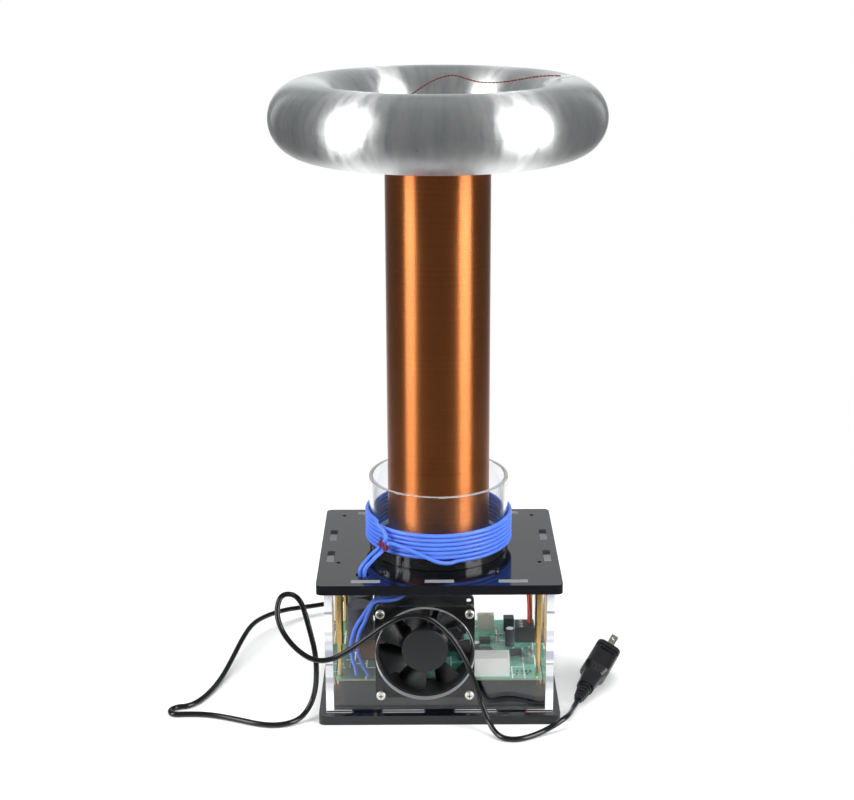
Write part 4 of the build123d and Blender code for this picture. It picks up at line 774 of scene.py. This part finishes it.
def round_coil(angle, radius, height):
    """Points at angles in degrees round the coil's axis."""
    turn = np.radians(angle)
    return np.stack([radius * np.cos(turn), radius * np.sin(turn), height + 0 * turn], axis=-1)


# Sizes in millimetres and angles in degrees.
wire_radius = 1.6
row_radius = 59.4
row_pitch = 3.66
first_row = 131.8
row_from, row_to = -75, 6 * 360 + 210
fan_top = 99.4
fan_face = -73
tie_way = np.array([0.62, 0.1, 0.78]) / np.linalg.norm([0.62, 0.1, 0.78])
tie_side = np.array([-0.7, 0.45, 0.5])
tie_side -= tie_way * (tie_side @ tie_way)
tie_side /= np.linalg.norm(tie_side)
tie_middle = round_coil(-130, row_radius + 9.6, 143.5)
tie_in, tie_out = tie_middle - 1.95 * tie_side, tie_middle + 1.95 * tie_side
lead_radius = row_radius + 3.7


def row_way(angle):
    """Direction of the wire in its rows at an angle: round the coil, and up by the pitch."""
    turn = math.radians(angle)
    return (-math.sin(turn), math.cos(turn), row_pitch / (2 * math.pi * row_radius))


lower_lead = along_stations([
    ((-68.8, -36, 21.9), (0, 0, 1)),
    ((-71.8, -41, fan_top - 59.4), None),
    ((-72.6, -47, fan_top - 45.8), None),
    ((-70.5, -53, fan_top - 33.4), None),
    ((-66.9, -57.5, fan_top - 22.4), None),
    ((-61.6, -61.5, fan_top - 12.6), None),
    ((-56.8, fan_face + 9.2, fan_top - 3.9), None),
    ((-51, fan_face + 8.2, fan_top + 3.2), (0.93, 0, 0.37)),
    ((-40.5, fan_face + 8.8, fan_top + 4), (1, 0.1, 0.03)),
    ((-32.5, -55.8, fan_top + 4.6), (0, 1, 0.05)),
    ((-42, -47.4, fan_top + 5.6), (-0.97, -0.2, 0.1)),
    ((-53, -53.5, fan_top + 7.1), (-0.68, -0.72, 0.15)),
    ((-60, -62.8, 114), (0, 0, 1)),
    ((-60, -62.8, 124), (0, 0, 1)),
    ((-53, -60, 134), None),
    (tie_in - 2 * tie_way, tie_way),
    (tie_in + 2 * tie_way, tie_way),
    (round_coil(-120, lead_radius + 1.2, 144), (0.9, -0.42, -0.12)),
    (round_coil(-104, lead_radius + 0.5, 139), None),
    (round_coil(-91, lead_radius, 133), None),
    (round_coil(-82, lead_radius - 2, 131), None),
    (round_coil(row_from, row_radius, first_row), row_way(row_from)),
], 10)
row_angle = np.linspace(row_from, row_to, 7 * 60)
rows_line = round_coil(row_angle, row_radius, first_row + row_pitch * (row_angle - row_from) / 360)
last_row = first_row + row_pitch * (row_to - row_from) / 360
upper_lead = along_stations([
    (round_coil(row_to, row_radius, last_row), row_way(row_to)),
    (round_coil(-141.5, lead_radius + 0.2, 156), (0.5, -0.75, -0.35)),
    (round_coil(-131.5, lead_radius + 2.2, 151.5), (0.3, -0.75, -0.65)),
    (tie_out + 2 * tie_way, -tie_way),
    (tie_out - 2 * tie_way, -tie_way),
    ((-57, -57, 134), None),
    ((-63.7, -61.4, 124), (0, 0, -1)),
    ((-63.7, -61.4, 114), (0, 0, -1)),
    ((-58, -50.5, fan_top + 7.6), (0.62, 0.77, -0.15)),
    ((-44.5, -42.8, fan_top + 5.6), (0.97, 0.2, -0.05)),
    ((-28.3, -55.6, fan_top + 4.6), (0, -1, -0.05)),
    ((-40.5, fan_face + 4.8, fan_top + 3.8), (-1, -0.05, -0.03)),
    ((-51, fan_face + 4.1, fan_top + 3.2), (-0.93, 0, -0.37)),
    ((-56, fan_face + 5.7, fan_top - 4.9), None),
    ((-60, -63.2, fan_top - 16.8), None),
    ((-64.6, -58, fan_top - 28.4), None),
    ((-66.9, -52, fan_top - 40.9), None),
    ((-66.6, -45.5, fan_top - 53.9), None),
    ((-63.4, -40.5, 33), None),
    ((-59.5, -38, 21.9), (0, 0, -1)),
], 10)
wire_line = np.vstack([lower_lead[:-1], rows_line, upper_lead[1:]]) / 1000
wire_finish = Finish("blue_silicone", Base_Color=(0.08, 0.2, 0.82, 1), Roughness=0.38, Sheen_Weight=0.1)
wire_tone = wire_finish.noise(60, 3)
wire_finish.set(wire_finish.shader, {
    "Base_Color": wire_finish.blend(wire_tone, (0.052, 0.155, 0.7, 1), (0.08, 0.2, 0.82, 1)),
    "Roughness": 0.32 + 0.16 * wire_finish.noise(300, 4),
})
wire_finish.dent(wire_finish.noise(1500, 3), 0.12, 0.0001)
primary = surface("primary_coil", tube_along(wire_line, wire_radius / 1000, 16), wire_finish, caps=True)
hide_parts("primary_winding")

# Lead tie: two thin wires, one red and one black, twisted together and bound three times
# round both leads, with a short tail.


def strands(name, line, apart, radius, lay, finishes, sides=8):
    """Twisted wires: each goes round the line at half the spacing, a full turn in each lay."""
    line = np.asarray(line, float)
    far = np.r_[0, np.cumsum(np.linalg.norm(np.diff(line, axis=0), axis=1))]
    core = tube_along(line, 1.0, 4)
    first, second = core[:, 0] - line, core[:, 1] - line
    made = []
    for i, finish in enumerate(finishes):
        turn = 2 * np.pi * (far / lay + i / len(finishes))
        own = line + apart / 2 * (first * np.cos(turn)[:, None] + second * np.sin(turn)[:, None])
        made.append(surface(f"{name}_{i + 1}", tube_along(own, radius, sides), finish, caps=True))
    return made


red_finish = moulded("red_enamel", (0.36, 0.012, 0.008), 0.45, 0.6, 2000, 0.1)
black_finish = moulded("black_enamel", (0.008, 0.006, 0.006), 0.25, 0.4, 2000, 0.1)
tie_across = np.cross(tie_way, tie_side)
tie_turns = 3
tie_pitch = 1.7
tie_long, tie_short = 4.65, 2.7
tail_length = 4.4
tie_turn = np.linspace(0, tie_turns, 150)[:, None]
oval = 2 * np.pi * tie_turn
tie_line = (tie_middle + tie_side * tie_long * np.cos(oval) + tie_across * tie_short * np.sin(oval)
            + tie_way * tie_pitch * (tie_turn - tie_turns / 2))
tail_way = (tie_line[-1] - tie_line[-2]) / np.linalg.norm(tie_line[-1] - tie_line[-2])
tail = tie_line[-1] + tail_way * np.linspace(0.3, tail_length, 14)[:, None]
tie = strands("lead_tie_strand", np.vstack([tie_line, tail]) / 1000, 0.0007, 0.00038, 0.0036,
              [red_finish, black_finish])
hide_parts("lead_tie")

# ---------------------------------------------------------------- toroid
# Spun from aluminium sheet as two half shells and brushed: fine rings round it, pale smears
# across them, and lamps drawn out across the ring. A bolt through its disc holds it on the cap.
spun_grey = (0.74, 0.755, 0.755, 1)
spun_finish = Finish("spun_aluminium", Base_Color=spun_grey, Metallic=1.0, Roughness=0.36,
                     Anisotropic=0.92, Anisotropic_Rotation=0.25)
spun_x, spun_y, spun_z = spun_finish.at()
toroid_low, toroid_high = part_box("toroid")
ring_height = (toroid_low[2] + toroid_high[2]) / 2
ring_radius = 0.103
out = spun_x.hypot(spun_y)
section = out.math("ARCTAN2", spun_z - ring_height, out - ring_radius)
around = out.math("ARCTAN2", spun_y, spun_x)
lines_at = spun_finish.node("ShaderNodeCombineXYZ", {}, {0: section * 60, 1: out * 0.5, 2: 0.0})
polish = spun_finish.noise(3, 6, 0.7, vector=lines_at.outputs[0])
smears_at = spun_finish.node("ShaderNodeCombineXYZ", {}, {
    0: around.math("SINE", around) * 9, 1: around.math("COSINE", around) * 9, 2: section * 0.5,
})
smears = spun_finish.noise(1.4, 5, 0.65, vector=smears_at.outputs[0]).above(0.5, 0.4)
patches = spun_finish.noise(16, 4)
spun_finish.set(spun_finish.shader, {
    "Roughness": 0.2 + 0.1 * polish + 0.05 * patches + 0.16 * smears,
    "Base_Color": spun_finish.blend(smears, spun_grey, (0.97, 0.97, 0.96, 1)),
})
spun_finish.dent(polish, 0.05, 0.0004)
dress(spun_finish, "toroid", "toroid_disc")

# Discharge wire: two thin enamelled wires twisted together, out of the disc and over the top,
# held at the end by a strip of clear tape.


def soft_line(route, count):
    """Line that a limp wire takes by its route: an arc of a parabola at each inner point, from
    the middle of the run before it to the middle of the run after."""
    route = np.asarray(route, float)
    ends = (route[:-1] + route[1:]) / 2
    ends[0], ends[-1] = route[0], route[-1]
    a, b, c = ends[:-1, None], route[1:-1, None], ends[1:, None]
    t = np.linspace(0, 1, count, endpoint=False)[None, :, None]
    line = (1 - t) ** 2 * a + 2 * t * (1 - t) * b + t**2 * c
    return np.vstack([line.reshape(-1, 3), route[-1]])


# Points in millimetres, with heights from the ring's middle.
top = 1000 * ring_height
discharge_route = [
    (-26.5, 52, top - 2.5), (-26.3, 51.9, top + 6), (-19.5, 48.5, top + 12.1), (-8, 45, top + 20.1),
    (3, 42, top + 25.6), (13.5, 39.5, top + 27.6), (23, 37, top + 24.6), (35, 34, top + 21.6),
    (50, 29.5, top + 22.4), (64.5, 23.5, top + 25.4), (77.5, 16.5, top + 28.4),
    (87, 12.6, top + 29.5), (95.5, 12, top + 29.3),
]
discharge = strands("discharge_strand", soft_line(discharge_route, 24) / 1000, 0.0006, 0.0003, 0.0062,
                    [red_finish, black_finish])
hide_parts("discharge_wire")
tape_finish = Finish("clear_tape", Base_Color=(0.8, 0.8, 0.78, 1), Roughness=0.2, Alpha=0.16)
tape_finish.set(tape_finish.shader, {"Roughness": 0.08 + 0.2 * tape_finish.noise(220, 4)})
tape_finish.dent(tape_finish.noise(240, 3), 0.2, 0.0002)
# A strip along the wire, on the ring's skin: its height is the ring's own, and a hair more.
ring_section = 29
tape_start, tape_end, tape_half = 83, 104, 7
tape_along, tape_across = np.meshgrid(
    np.linspace(tape_start, tape_end, 26), np.linspace(-tape_half, tape_half, 14), indexing="ij")
tape_x = tape_along - 0.12 * tape_across
tape_y = 13.2 + tape_across
tape_out = np.hypot(tape_x, tape_y) - 1000 * ring_radius
tape_lift = 0.1 + 1.0 * np.exp(-(tape_across / 1.6) ** 2)
tape_z = top + np.sqrt(ring_section**2 - tape_out**2) + tape_lift
tape_z = np.minimum(tape_z, top + ring_section + 1)
tape_grid = np.stack([tape_x, tape_y, tape_z], axis=2) / 1000
tape = surface("clear_tape", tape_grid, tape_finish, around=False)
tape_wall = tape.modifiers.new("wall_painted_shade", "SOLIDIFY")
tape_wall.thickness = 0.00005

# ---------------------------------------------------------------- supply wires
# Two stranded wires in vinyl, red and brown, from the gland over the heatsink into the terminal
# block. Each point is in millimetres, with its x from the gland's, and ends with the direction
# from the red wire to the brown one as x and z.
supply_line = np.array([
    (0, 67.7, 34, -1, 0), (0, 57, 35, -1, 0), (0, 50, 44, -1, 0), (0, 46.5, 60, -1, 0),
    (0.5, 45.5, 77, -1, 0), (8, 45, 91, -0.8, 0.6), (26, 44.5, 99, -0.3, 0.95), (50, 43, 103, 0, 1),
    (76, 40.5, 104.5, 0, 1), (104, 37.5, 104, 0.2, 0.98), (122, 35.5, 99, 0.7, 0.7),
    (129.5, 34.5, 84, 1, 0.1), (132, 34, 65, 1, 0), (133, 34, 48, 1, 0), (133, 34, 35.9, 1, 0),
], float)
gland_x = -53.5
half_spacing = 1.3
supply_finishes = {
    "red": moulded("red_vinyl", (0.5, 0.02, 0.012), 0.3, 0.45, 1500, 0.1),
    "brown": moulded("brown_vinyl", (0.16, 0.035, 0.015), 0.3, 0.45, 1500, 0.1),
}
for side, (colour, finish) in zip((-half_spacing, half_spacing), supply_finishes.items()):
    x, y, z, side_x, side_z = supply_line.T
    route = np.c_[gland_x + x + side * side_x, y, z + side * side_z]
    tube = tube_along(soft_line(route, 12) / 1000, 0.0009, 12)
    piece = surface(f"supply_{colour}", tube, finish, caps=True)
    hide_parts(f"supply_wire_{colour}")
